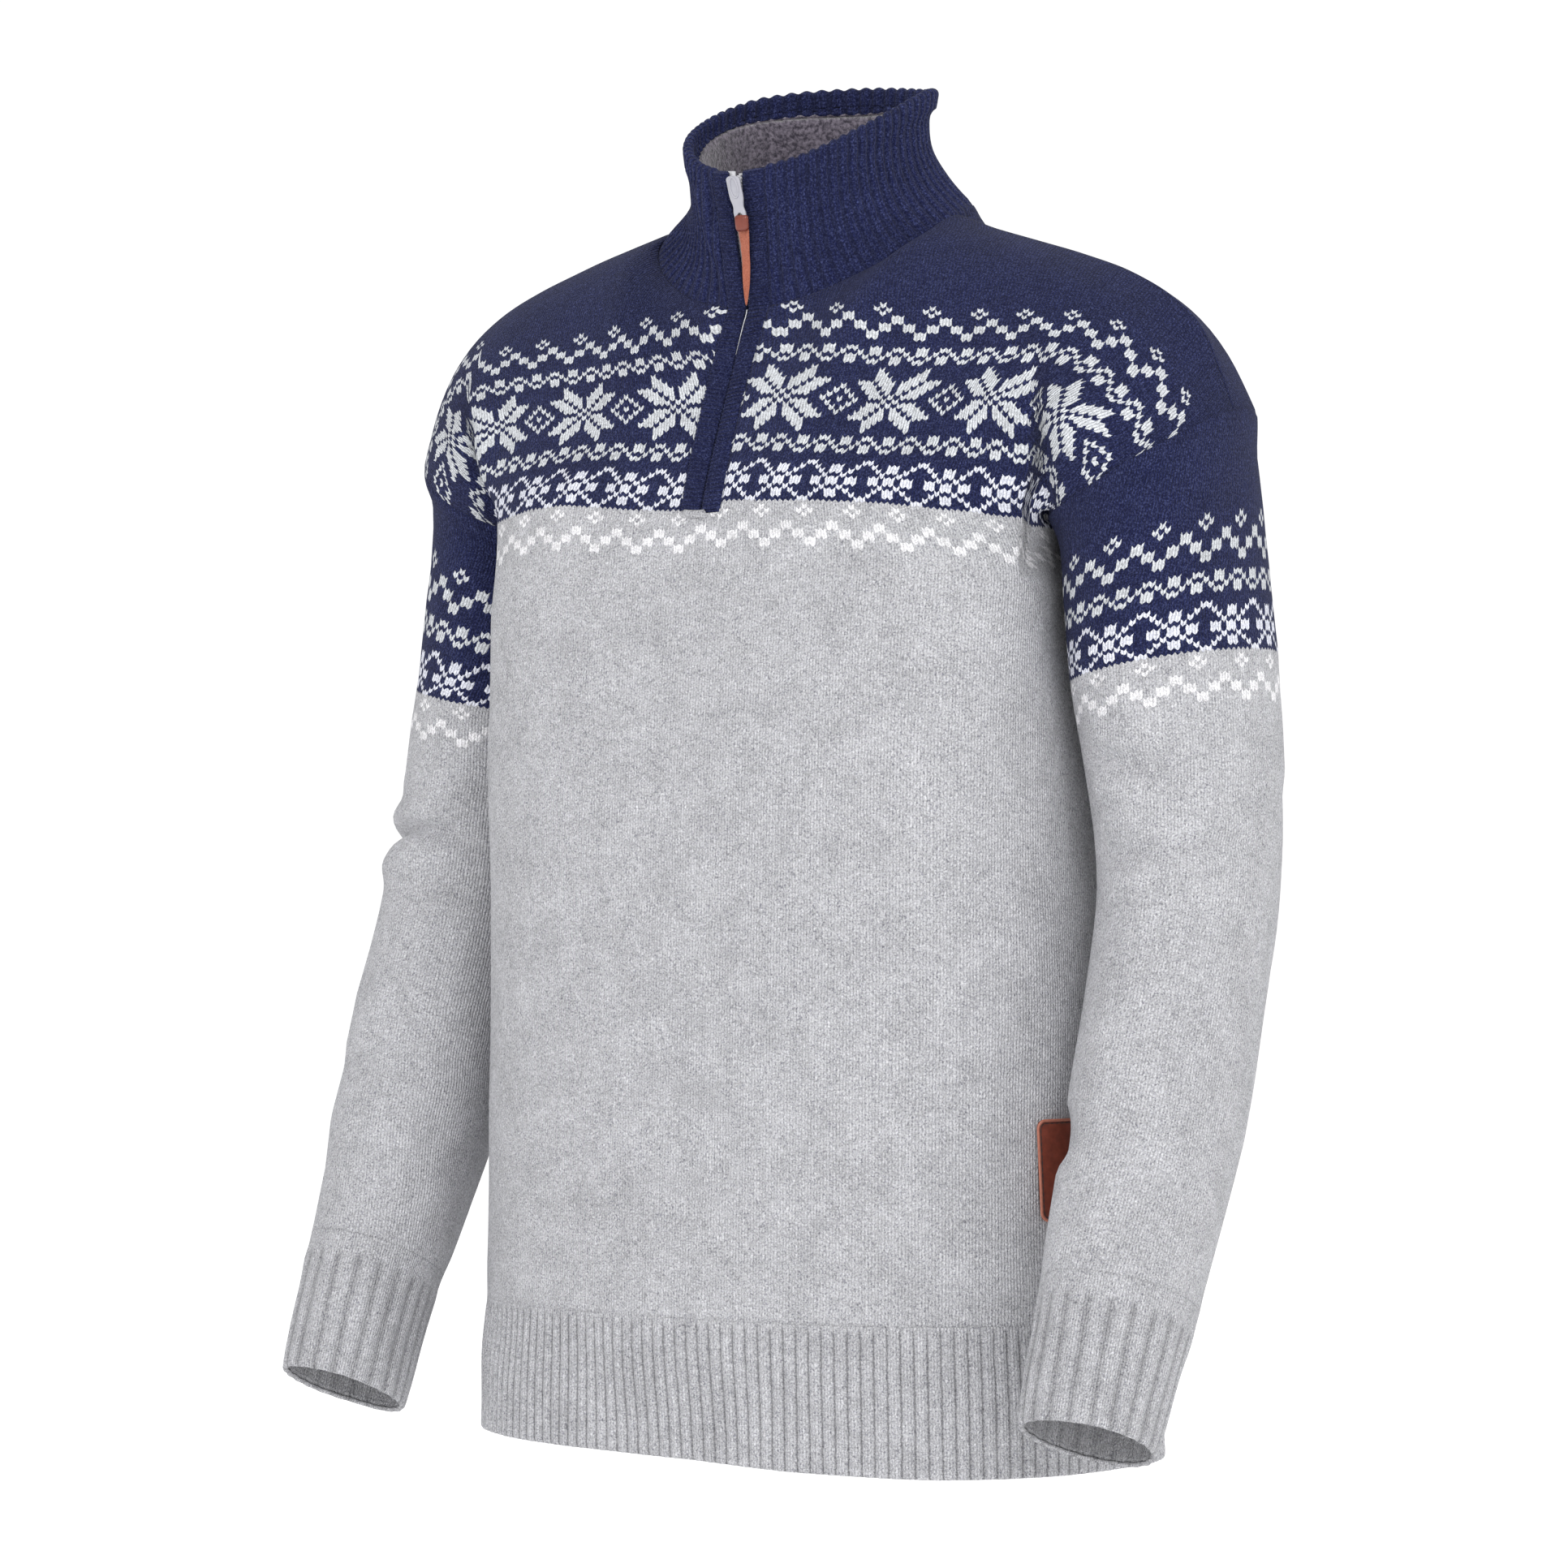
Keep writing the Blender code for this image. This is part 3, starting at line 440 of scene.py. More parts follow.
def knitMaterial(name, changes):
    # Lambswool in stocking stitch, brushed: matt, with a halo of pale hairs and a V at every stitch
    use = dict(stocking, **changes)
    material, tree, shader = newMaterial(name)
    addNode(tree, "UVMap", "cloth", uv_map="cloth")
    yarnSpace = addNode(tree, "TexCoord", "space").outputs["Object"]
    addNode(tree, "TexNoise", "uneven", {"Vector": yarnSpace, "Scale": 1 / 0.007, "Detail": 2.0})
    addNode(tree, "VectorMath", "centred", {0: tree.nodes["uneven"].outputs["Color"], 1: (0.5, 0.5, 0.5)},
            operation="SUBTRACT")
    addNode(tree, "VectorMath", "moved", {0: "centred", 1: [use["drift"]] * 3, 2: "cloth"},
            operation="MULTIPLY_ADD")
    # brushed edges: the stitches' outlines are ragged by the yarn's own hairs
    addNode(tree, "TexNoise", "ragged", {"Vector": yarnSpace, "Scale": 1 / 0.0017, "Detail": 2.0})
    addNode(tree, "VectorMath", "raggedOver", {0: tree.nodes["ragged"].outputs["Color"], 1: (0.5, 0.5, 0.5)},
            operation="SUBTRACT")
    addNode(tree, "VectorMath", "brushed", {0: "raggedOver", 1: [use["fray"]] * 3, 2: "moved"},
            operation="MULTIPLY_ADD")
    u, v = addNode(tree, "SeparateXYZ", "place", {0: "brushed"}).outputs[:2]
    for step, operation, *operands in [
        ("s", "MULTIPLY_ADD", u, 1 / use["width"], 0.5),
        ("column", "FLOOR", "s"),
        ("across", "SUBTRACT", "s", "column"),
        ("fromMiddle", "SUBTRACT", "across", 0.5),
        ("side", "ABSOLUTE", "fromMiddle"),
        ("t", "MULTIPLY", v, 1 / use["height"]),
        ("lean", "MULTIPLY_ADD", "side", -use["slope"], "t"),
        ("row", "FLOOR", "lean"),
        ("up", "SUBTRACT", "lean", "row"),
        ("isNavy", "GREATER_THAN", "row", use["navyFrom"] - 0.5),
        # each leg of the V is a rounded lobe
        ("fromLeg", "MULTIPLY_ADD", "side", 1 / use["leg"], -1.0),
        ("fromLegSize", "ABSOLUTE", "fromLeg"),
        ("fromLegBent", "POWER", "fromLegSize", 2.2),
        ("legShape", "SUBTRACT", 1.0, "fromLegBent"),
        ("legFull", "MAXIMUM", "legShape", 0.0),
        ("ends", "MULTIPLY_ADD", "up", 2.0, -1.0),
        ("endsSize", "ABSOLUTE", "ends"),
        ("endsBent", "POWER", "endsSize", 3.0),
        ("endsShape", "MULTIPLY_ADD", "endsBent", -0.55, 1.0),
        ("stitchHeight", "MULTIPLY", "legFull", "endsShape"),
    ]:
        addNode(tree, "Math", step, dict(enumerate(operands)), operation=operation)
    # strands, hairs and flecks have their own grain, and each stitch takes a slightly different shade
    for layer, size, detail, roughness, distortion in [
        ("strands", 0.0009, 3.0, 0.75, 0.0),
        ("hairs", 0.0050, 3.0, 0.6, 2.5),
        ("broad", 0.024, 4.0, 0.6, 0.0),
        ("flecks", 0.0010, 3.0, 0.7, 0.4),
        ("rare", 0.0042, 1.0, 0.5, 2.2),
    ]:
        addNode(tree, "TexNoise", layer, {"Vector": yarnSpace, "Scale": 1 / size, "Detail": detail,
                                          "Roughness": roughness, "Distortion": distortion})
    addNode(tree, "CombineXYZ", "stitchPlace", {0: "column", 1: "row"})
    addNode(tree, "TexWhiteNoise", "stitchShade", {"Vector": "stitchPlace"}, noise_dimensions="2D")
    crownShare = 1 / max(use["groove"], 0.01)
    for step, operation, *operands in [
        # a hair lies wherever the hair noise crosses its middle value
        ("hairOver", "SUBTRACT", "hairs", 0.5),
        ("hairAway", "ABSOLUTE", "hairOver"),
        ("hairLine", "MULTIPLY_ADD", "hairAway", -34.0, 1.0),
        ("hairKept", "MAXIMUM", "hairLine", 0.0),
        ("fuzzOver", "SUBTRACT", "flecks", 0.47),
        ("fuzz", "MULTIPLY", "fuzzOver", 4.0),
        ("hairAmount", "MULTIPLY_ADD", "hairKept", 0.35, "fuzz"),
        ("darkOver", "SUBTRACT", "flecks", 0.52),
        ("darkAmount", "MULTIPLY", "darkOver", 7.0),
        ("paleOver", "SUBTRACT", 0.46, "flecks"),
        ("paleFuzz", "MULTIPLY", "paleOver", 5.0),
        ("paleAmount", "MULTIPLY_ADD", "hairKept", 0.30, "paleFuzz"),
        ("speckOver", "SUBTRACT", "rare", 0.800),
        ("speckAmount", "MULTIPLY", "speckOver", 25.0),
        ("surface", "MULTIPLY_ADD", "strands", 0.35, "stitchHeight"),
        # less light reaches the gaps between stitches
        ("open", "POWER", "stitchHeight", 0.6),
        ("gap", "MULTIPLY_ADD", "isNavy", use["navyGapShade"], use["gapShade"]),
        ("closed", "SUBTRACT", "open", 1.0),
        ("openShade", "MULTIPLY_ADD", "closed", "gap", 1.0),
        ("yarnShade", "MULTIPLY_ADD", tree.nodes["stitchShade"].outputs["Value"], 0.16, -0.38),
        ("strandShade", "MULTIPLY_ADD", "strands", 2.2, "yarnShade"),
        ("broadShade", "MULTIPLY_ADD", "broad", 0.50, "strandShade"),
        # and least into the grooves between ribs, which stop short of the piece's upper edge
        ("rib", "MULTIPLY_ADD", u, 1 / use["ribs"], 0.5),
        ("ribPart", "FRACT", "rib"),
        ("ribMiddle", "SUBTRACT", "ribPart", 0.5),
        ("fromCrown", "ABSOLUTE", "ribMiddle"),
        ("intoGroove", "MULTIPLY_ADD", "fromCrown", crownShare, 1 - 0.5 * crownShare),
        ("inGroove", "MAXIMUM", "intoGroove", 0.0),
        ("belowTop", "MULTIPLY_ADD", v, -250.0, use["ribTop"] * 250.0),
        ("belowTopKept", "MAXIMUM", "belowTop", 0.0),
        ("ribbed", "MINIMUM", "belowTopKept", 1.0),
        ("grooveDepth", "MULTIPLY", "inGroove", "ribbed"),
        ("grooveShade", "MULTIPLY_ADD", "grooveDepth", -use["grooveShadeAmount"], 1.0),
        ("ribShade", "MULTIPLY", "grooveShade", "openShade"),
        ("shade", "MULTIPLY", "broadShade", "ribShade"),
    ]:
        addNode(tree, "Math", step, dict(enumerate(operands)), operation=operation)
    if use["chart"]:
        addChart(tree, use["chart"])
    dye = {key: linear(value) for key, value in yarns.items()}
    mixes = [
        ("greyFlecked", "darkAmount", dye["grey"], dye["greyDark"]),
        ("greyPale", "paleAmount", "greyFlecked", dye["greyHair"]),
        ("greyYarn", "speckAmount", "greyPale", dye["fleck"]),
        ("navyYarn", "hairAmount", dye["navy"], dye["navyHair"]),
        ("knitting", "isNavy", "greyYarn", "navyYarn"),
    ]
    if use["chart"]:
        mixes += [("whiteYarn", "isNavy", dye["undyed"], dye["white"]),
                  ("secondYarn", "isWhite", dye["light"], "whiteYarn"),
                  ("knitting2", "isPattern", "knitting", "secondYarn")]
    for step, factor, first, second in mixes:
        addNode(tree, "Mix", step, {0: factor, 6: first, 7: second}, data_type="RGBA")
    addNode(tree, "VectorMath", "colour", {0: mixes[-1][0], "Scale": "shade"}, operation="SCALE")
    addNode(tree, "Bump", "stitches", {"Strength": 1.0, "Distance": use["depth"], "Height": "surface"})
    tree.links.new(tree.nodes["colour"].outputs[0], shader.inputs["Base Color"])
    tree.links.new(tree.nodes["stitches"].outputs[0], shader.inputs["Normal"])
    for key, value in (("Roughness", 0.92), ("Specular IOR Level", 0.25), ("Sheen Weight", 0.03),
                       ("Sheen Roughness", 0.5)):
        shader.inputs[key].default_value = value
    return material


offPiece = 1000  # a colour boundary that lies off the piece
ribPitch = dict(hem=0.0073, cuff=0.0120, collar=0.0072)
bodyKnit = knitMaterial("lambswool_fair_isle_body", dict(chart=bodyChart))
sleeveKnit = knitMaterial("lambswool_fair_isle_sleeve", dict(chart=sleeveChart))
# painted shade in the ribs' gaps and grooves, set for each rib
hemRibKnit = knitMaterial("lambswool_rib_grey", dict(
    width=ribPitch["hem"] / 2, gapShade=0.14, navyFrom=offPiece,
    ribs=ribPitch["hem"], groove=0.20, grooveShadeAmount=0.46, ribTop=0.080))
cuffRibKnit = knitMaterial("lambswool_rib_grey_wide", dict(
    width=ribPitch["cuff"] / 4, gapShade=0.16, navyFrom=offPiece,
    ribs=ribPitch["cuff"], groove=0.27, grooveShadeAmount=0.36, ribTop=0.070))
collarKnit = knitMaterial("lambswool_rib_navy", dict(width=ribPitch["collar"], leg=0.19, navyFrom=-offPiece))
bandKnit = knitMaterial("lambswool_band_navy", dict(width=0.0024, height=0.0030, slope=0.6, depth=0.0005,
                                                    navyFrom=-offPiece))


def surfaceMaterial(name, base, second, roughness, grain, depth, contrast=2.0, **sockets):
    # A finish with its colour and height broken up by one grain, given by its real size in metres
    material, tree, shader = newMaterial(name)
    addNode(tree, "TexCoord", "object")
    addNode(tree, "TexNoise", "grain", {"Vector": tree.nodes["object"].outputs["Object"], "Scale": 1 / grain,
                                        "Detail": 4.0, "Roughness": 0.6})
    addNode(tree, "Math", "grainOver", {0: "grain", 1: contrast, 2: 0.5 - 0.5 * contrast},
            operation="MULTIPLY_ADD")
    addNode(tree, "Mix", "colour", {0: "grainOver", 6: linear(base), 7: linear(second)}, data_type="RGBA")
    addNode(tree, "Bump", "relief", {"Strength": 1.0, "Distance": depth, "Height": "grain"})
    tree.links.new(tree.nodes["colour"].outputs[2], shader.inputs["Base Color"])
    tree.links.new(tree.nodes["relief"].outputs[0], shader.inputs["Normal"])
    shader.inputs["Roughness"].default_value = roughness
    for key, value in sockets.items():
        shader.inputs[key].default_value = value
    return material


# Polyester microfleece: short dense pile, cut so fine that only its mottled nap shows
fleece = surfaceMaterial("polyester_microfleece", "#3d3844", "#837b88", 0.95, 0.0022, 0.0016, 4.2,
                         **{"Sheen Weight": 0.5, "Sheen Roughness": 0.5, "Specular IOR Level": 0.2})
# Vegetable-tanned cowhide, waxed: fine pores, warm red-brown and a low gloss
cowhide = surfaceMaterial("waxed_cowhide", "#642a1c", "#86402e", 0.34, 0.0040, 0.00010,
                          **{"Coat Weight": 0.25, "Coat Roughness": 0.2})
# Its edges, sanded and burnished: paler copper brown with a soft gloss, the paleness partly their own colour and
# partly a painted highlight along the raised rim
burnishedAndHighlight = surfaceMaterial("burnished_hide_edge_painted_highlight", "#a55f4b", "#bd7b66", 0.4, 0.0015, 0.00010)
# The same hide split and brushed to a nap: orange-brown and dull
suede = surfaceMaterial("split_suede", "#8f4630", "#b06a52", 0.85, 0.0007, 0.0002, 3.0, **{"Sheen Weight": 0.3})
# Hide cap, burnished and glazed: deeper colour and a clear highlight
glazedHide = surfaceMaterial("glazed_cowhide", "#6c2716", "#7e331f", 0.25, 0.0030, 0.00005,
                             **{"Coat Weight": 0.4, "Coat Roughness": 0.15})
# Die-cast zinc under white lacquer: smooth and glossy with soft highlights
lacquer = surfaceMaterial("white_lacquered_zinc", "#b2b2ba", "#a6a6b0", 0.3, 0.0040, 0.00002,
                          **{"Coat Weight": 0.3, "Coat Roughness": 0.1})
# Nickel-plated brass of the pull's ring: grey metal with fine handling marks
nickel = surfaceMaterial("nickel_plated_brass", "#9a9a98", "#b9b9b6", 0.32, 0.0008, 0.00002, **{"Metallic": 1.0})
# Moulded nylon zip teeth: off-white, slightly glossy
nylon = surfaceMaterial("white_nylon_teeth", "#cfd0d4", "#e4e4e8", 0.45, 0.0010, 0.00002)
# Woven polyester zip tape: pale grey, with a herringbone too fine to show
tapeWeave = surfaceMaterial("polyester_zip_tape", "#c9cace", "#e2e2e6", 0.8, 0.0006, 0.0002, 2.5)
# Waxed linen thread: twisted and nearly black
thread = surfaceMaterial("waxed_linen_thread", "#2a1a18", "#4a322d", 0.6, 0.0004, 0.0001)
print("materials ready")


def ridge(u, pitch, fullness=0.8):  # 1 on a rib's crown, 0 in its groove
    return (0.5 + 0.5 * np.cos(2 * pi * u / pitch)) ** fullness


def seamDip(distance, depth=0.0011, width=0.0028):
    return -depth * bump(distance, width)


def softNoise(points, size, seed):  # smooth unevenness, from -1 to 1
    flat = points.reshape(-1, 3) / size + seed
    return np.array([noise.noise(Vector(p)) for p in flat]).reshape(points.shape[:2])


def foldDepth(cloth, folds):  # listed folds: points along each in cloth metres, depth, half width
    total = np.zeros(cloth.shape[:2])
    for line, depth, width in folds:
        line = np.array(line)
        lengths = runningLength(line)
        best = np.full(cloth.shape[:2], 1e9)
        place = np.zeros(cloth.shape[:2])
        for k, (a, b) in enumerate(zip(line[:-1], line[1:])):
            t = np.clip(((cloth - a) @ (b - a)) / ((b - a) @ (b - a)), 0, 1)
            distance = np.linalg.norm(cloth - a - t[..., None] * (b - a), axis=2)
            closer = distance < best
            best = np.where(closer, distance, best)
            place = np.where(closer, (lengths[k] + t * (lengths[k + 1] - lengths[k])) / lengths[-1], place)
        fade = 1 - np.abs(2 * place - 1) ** 3
        total -= depth * fade * bump(best, width)
    return total


def edgeRows(where, lengths, near=(0.0007, 0.0016, 0.0027)):  # finer lines beside both ends, for rolled edges
    low = [d / lengths[0] for d in near]
    high = [len(lengths) - d / lengths[-1] for d in near]
    inside = [w for w in where if low[-1] < w < high[-1]]
    return np.array([where[0]] + low + inside + high[::-1] + [where[-1]])


panel = dict(spacing=0.0034, wall=0.0022, unevenness=0.0007)

# where the navy starts across the chest: x and z
boundaryLine = np.array([[-0.190, -0.1690], [-0.170, -0.1660], [-0.150, -0.1607], [-0.125, -0.1560],
                         [-0.100, -0.1552], [-0.045, -0.1580], [-0.012, -0.1585], [0.012, -0.1560],
                         [0.068, -0.1560], [0.141, -0.1613], [0.158, -0.1630], [0.177, -0.1676], [0.190, -0.1690]])

# How the front's knitting lies off an even grid, as it was pulled on: at each place (u and v in millimetres) the
# stitches it lies further out and the millimetres it lies further up
pulledFront = np.array([
    (-172, 102, -0.7, 8.2), (-139, 99, -1.7, 11.7), (-107, 98, -2.5, 11.8), (-80, 103, -2.0, 6.9),
    (-63, 112, 1.25, -2.6), (-47, 117, 4.9, -8.0), (-26, 119, 7.3, -9.8), (-175, 90, -1.3, 3.5),
    (-143, 87, -2.1, 7.4), (-113, 86, -2.3, 7.7), (-85, 88, -2.2, 5.9), (-64, 93, 0.2, 1.5),
    (-46, 99, 3.2, -4.8), (-22, 101, 4.7, -6.7), (30, 119, -0.3, -8.7), (65, 114, -1.8, -4.0),
    (98, 110, -3.0, 0.3), (127, 110, -3.0, 0.5), (155, 110, -2.7, 0.0), (180, 113, -1.6, -2.6),
    (206, 120, -0.5, -9.8), (-169, 81, -2.2, 4.4), (-136, 78, -3.0, 7.9), (-107, 78, -3.1, 7.8),
    (-80, 81, -2.5, 4.5), (-60, 86, -0.6, -0.7), (-39, 90, 1.4, -5.0), (38, 90, -3.1, -4.4),
    (74, 86, -4.4, -0.1), (102, 85, -4.2, 0.8), (130, 85, -3.8, 0.3), (155, 86, -3.0, -0.8),
    (180, 89, -1.9, -3.8), (201, 98, 0.2, -12.3), (-161, 55, -5.0, 3.9), (-88, 53, -5.2, 5.2),
    (-27, 59, -2.5, -0.7), (41, 61, -1.4, -2.5), (112, 56, -0.8, 2.5), (170, 62, 3.3, -3.2),
    (190, 60, 4.0, -4.0), (-160, 33, -4.6, 3.1), (-127, 29, -5.2, 6.9), (-101, 31, -4.9, 4.8),
    (-74, 34, -4.2, 2.2), (-45, 34, -3.8, 1.8), (-20, 34, -2.9, 1.9), (36, 35, -2.5, 0.7), (65, 33, -2.2, 3.2),
    (91, 33, -1.5, 2.8), (117, 34, -0.5, 2.5), (142, 36, 0.6, 0.5), (165, 36, 2.2, 0.3), (191, 37, 3.4, -1.2),
    (-178, 12, 1.0, -2.0), (-126, 10, -0.8, 2.3), (-95, 11, 0.0, 1.2), (-54, 11, -0.6, 1.5),
    (-18, 9, -0.7, 3.2), (16, 14, 0.2, -1.0), (49, 12, 1.0, 1.1), (82, 11, 2.0, 1.5), (117, 12, 2.4, 0.5),
    (149, 10, 3.5, 2.6), (180, 11, 5.0, 1.5), (100, -8, 1.0, 0.0), (-100, -8, 0.0, 0.0),
] + [(u, v, 0.0, 0.0) for v in (-40, 175) for u in range(-240, 241, 80)])
pulledPastCrease = np.array([
    (150, 111, -2.7, 0.0), (180, 113, -1.6, -2.6), (206, 120, -0.5, -9.8), (231, 127, 0.7, -16.6),
    (257, 124, 1.4, -13.8), (284, 121, 2.0, -11.1), (180, 89, -1.9, -3.8), (201, 98, 0.2, -12.3),
    (225, 98, 1.7, -12.3), (244, 90, 4.6, -5.0), (268, 92, 5.7, -6.1), (211, 64, 12.0, -5.4),
    (236, 56, 15.1, 2.1), (215, 28, 20.4, 7.9), (200, 33, 16.4, 2.9), (210, -10, 18.0, 4.0),
    (270, 175, 0.0, 0.0), (190, 175, 0.0, 0.0),
])
creaseAt = (0.1945, 0.2005)  # how far out the armpit's crease starts and ends


def pulled(pins, cloth):  # smooth field through the pins
    place = pins[:, :2] / 1000
    reach = np.linalg.norm(place[:, None] - place[None], axis=2)
    system = -reach + 0.0015 * np.eye(len(pins))
    middle = pins[:, 2:].mean(0)
    share = np.linalg.solve(system, pins[:, 2:] - middle)
    away = np.linalg.norm(cloth[..., None, :] - place, axis=-1)
    return (middle - away @ share) * (stocking["width"], 0.001)


def addDrift(cloth):
    sign = np.sign(cloth[..., :1])
    past = smoothStep(*creaseAt, abs(cloth[..., :1]))
    mirroredCloth = np.concatenate([abs(cloth[..., :1]), cloth[..., 1:]], 2)
    beyond = pulled(pulledPastCrease, mirroredCloth) * np.concatenate([sign, np.ones_like(sign)], 2)
    inYoke = smoothStep(-0.040, 0.0, cloth[..., 1:])
    slowly = smoothStep(-0.036, -0.002, cloth[..., 1:])
    return cloth + pulled(pulledFront, cloth) * (1 - past) * inYoke + beyond * past * slowly


def panelCloth(points, start, share):  # v up from the colour boundary, u out from the middle at one level
    along = arcLengths(points, 0)
    v = along - along[start] + points[start, :, 2] - np.interp(points[start, :, 0], *boundaryLine.T)
    levels = np.linspace(v.min(), v.max(), 240)
    level = np.empty((len(levels), points.shape[1], 3))
    for k in range(points.shape[1]):
        for axis in range(3):
            level[:, k, axis] = np.interp(levels, v[:, k], points[:, k, axis])
        over = np.maximum(levels - v[-1, k], 0)[:, None]  # a column that ends early goes on as it ended
        end = points[-1, k] - points[-3, k]
        level[:, k] += over * end / max(np.linalg.norm(end), 1e-9)
    steps = np.linalg.norm(np.diff(level, axis=1), axis=2)
    out = np.concatenate([np.zeros((len(levels), 1)), np.cumsum(steps, axis=1)], 1)
    edge = int(np.argmin(abs(share - slot) + (np.arange(len(share)) < len(share) / 2)))
    other = len(share) - 1 - edge
    right = out - out[:, edge:edge + 1] + abs(level[:, edge:edge + 1, 0])
    left = out - out[:, other:other + 1] - abs(level[:, other:other + 1, 0])
    isRight = np.arange(len(share)) > len(share) / 2
    between = (share < slot)[None]
    flat = np.where(between, level[:, :, 0] * np.sign(level[:, -1:, 0]), np.where(isRight, right, left))
    u = np.stack([np.interp(v[:, k], levels, flat[:, k]) for k in range(points.shape[1])], 1)
    return np.stack([u, v], 2), along


# how much higher the hem hangs than its plain form, round from the wearer's right
hemLift = np.array([[-0.270, 0.0030], [-0.150, 0.0060], [-0.054, 0.0055], [0.010, 0.0040], [0.070, 0.0010],
                    [0.150, -0.0014], [0.200, -0.0010], [0.270, 0.0]])


def hung(points, face):  # the right side swings a little out, low down
    swing = np.interp(-points[..., 2], [0.40, 0.50, 0.58], [0, 0.0020, 0.0036])
    swing = smoothStep(0.10, 0.24, -points[..., 0]) * swing
    front = 1.0 if face < 0 else smoothStep(0.080, 0.185, abs(points[..., 0]))
    lift = smoothStep(-0.600, -0.690, points[..., 2]) * np.interp(points[..., 0], *hemLift.T) * front
    return points + np.stack([-swing, np.zeros_like(swing), lift * np.ones_like(swing)], 2)


def bodyPanel(face):
    cage = bodyCage(face)
    shares = np.array(columnShares)
    if face > 0:
        cage, shares = cage[:, ::-1], -shares
    rowLengths = stepLengths(cage[:, middleColumn + 5])
    columnLengths = stepLengths(cage[underarmRow])
    low, high = cage.copy(), cage  # below the notches the outer columns stop at the underarm
    for part in (slice(0, 2), slice(-2, None)):
        low[underarmRow + 1:, part] = cage[underarmRow, part]
    rowWhere = divided(rowLengths, panel["spacing"])
    rowWhere = rowWhere[rowWhere >= ribRow]
    columnWhere = divided(columnLengths, panel["spacing"])
    share = np.interp(columnWhere, range(len(shares)), shares)
    inYoke = rowWhere > underarmRow - 1e-6
    points = np.where(inYoke[:, None, None], finePoints(high, rowWhere, columnWhere),
                      finePoints(low, rowWhere, columnWhere))
    start = int(np.flatnonzero(inYoke)[0])
    points[start] = finePoints(low, [underarmRow], columnWhere)[0]
    corners = [int(np.argmin(abs(columnWhere - k))) for k in (2, len(shares) - 3)]
    cloth, along = panelCloth(points, start, abs(share))
    if face < 0:
        cloth = addDrift(cloth)
    # relief: seams, soft unevenness and folds
    across = arcLengths(points, 1)
    last = len(columnWhere) - 1
    leftEdge = np.where(inYoke, across[:, corners[0]], across[:, 0])[:, None]
    rightEdge = np.where(inYoke, across[:, corners[1]], across[:, last])[:, None]
    toSide = np.minimum(across - leftEdge, rightEdge - across)
    relief = seamDip(np.maximum(toSide, 0)) + seamDip(along[-1] - along, 0.0003, 0.0025)
    relief += panel["unevenness"] * softNoise(points, 0.07, 3.0 + face)
    relief += foldDepth(np.stack([abs(points[..., 0]), points[..., 2]], 2), frontFolds if face < 0 else backFolds)
    relief *= smoothStep(0.0, 0.012, along)
    points = hung(points + gridNormals(points) * relief[..., None], face)
    rowCell, columnCell = np.floor(rowWhere[:-1] + 1e-6), np.floor(columnWhere[:-1] + 1e-6)
    hole = (rowCell[:, None] >= underarmRow) & ((columnCell < 2) | (columnCell >= len(shares) - 3))[None]
    if face < 0:
        hole |= (rowCell[:, None] > underarmRow) & (abs(columnCell - middleColumn + 0.5) < 1)[None]
    return gridMesh("front_panel" if face < 0 else "back_panel", points, cloth, hole)


# folds: points along the fold as (x, z) in metres, depth, half width
frontFolds = [
    ([(0.190, -0.098), (0.1925, -0.118), (0.1915, -0.136), (0.186, -0.153), (0.174, -0.170)], 0.0062, 0.0052),
    ([(0.176, -0.105), (0.178, -0.130), (0.174, -0.150)], -0.0022, 0.0080),
    ([(0.204, -0.105), (0.205, -0.130)], -0.0022, 0.0070),
    ([(0.172, -0.215), (0.177, -0.300), (0.176, -0.385)], 0.0016, 0.0090),
    ([(0.176, -0.440), (0.180, -0.500), (0.181, -0.580)], 0.0018, 0.0080),
]
backFolds = [
    ([(0.189, -0.100), (0.1915, -0.122), (0.188, -0.146), (0.176, -0.168)], 0.0050, 0.0060),
    ([(0.166, -0.110), (0.164, -0.150)], -0.0018, 0.0100),
    ([(0.120, -0.330), (0.128, -0.430), (0.126, -0.540)], 0.0014, 0.0140),
    ([(0.050, -0.420), (0.043, -0.520), (0.047, -0.590)], -0.0012, 0.0150),
]

frontMesh, backMesh = bodyPanel(-1), bodyPanel(1)
front = addPiece("knit_front", frontMesh, bodyKnit, "garment", "front_panel", panel["wall"])
back = addPiece("knit_back", backMesh, bodyKnit, "garment", "back_panel", panel["wall"])
print("front and back knitted")

rib = dict(spacing=0.0011, rowSpacing=0.0032, wall=0.0026, hemRelief=0.0014, cuffRelief=0.0012,
           hemFullness=0.6, cuffFullness=0.8, wave=0.0060, hemUnevenness=0.0011, cuffUnevenness=0.0012)


def rolledEdge(distance, depth=0.0011, width=0.0026):  # a finished edge turns in over its last millimetres
    inside = np.clip(1 - distance / width, 0, 1)
    return -depth * inside ** 2


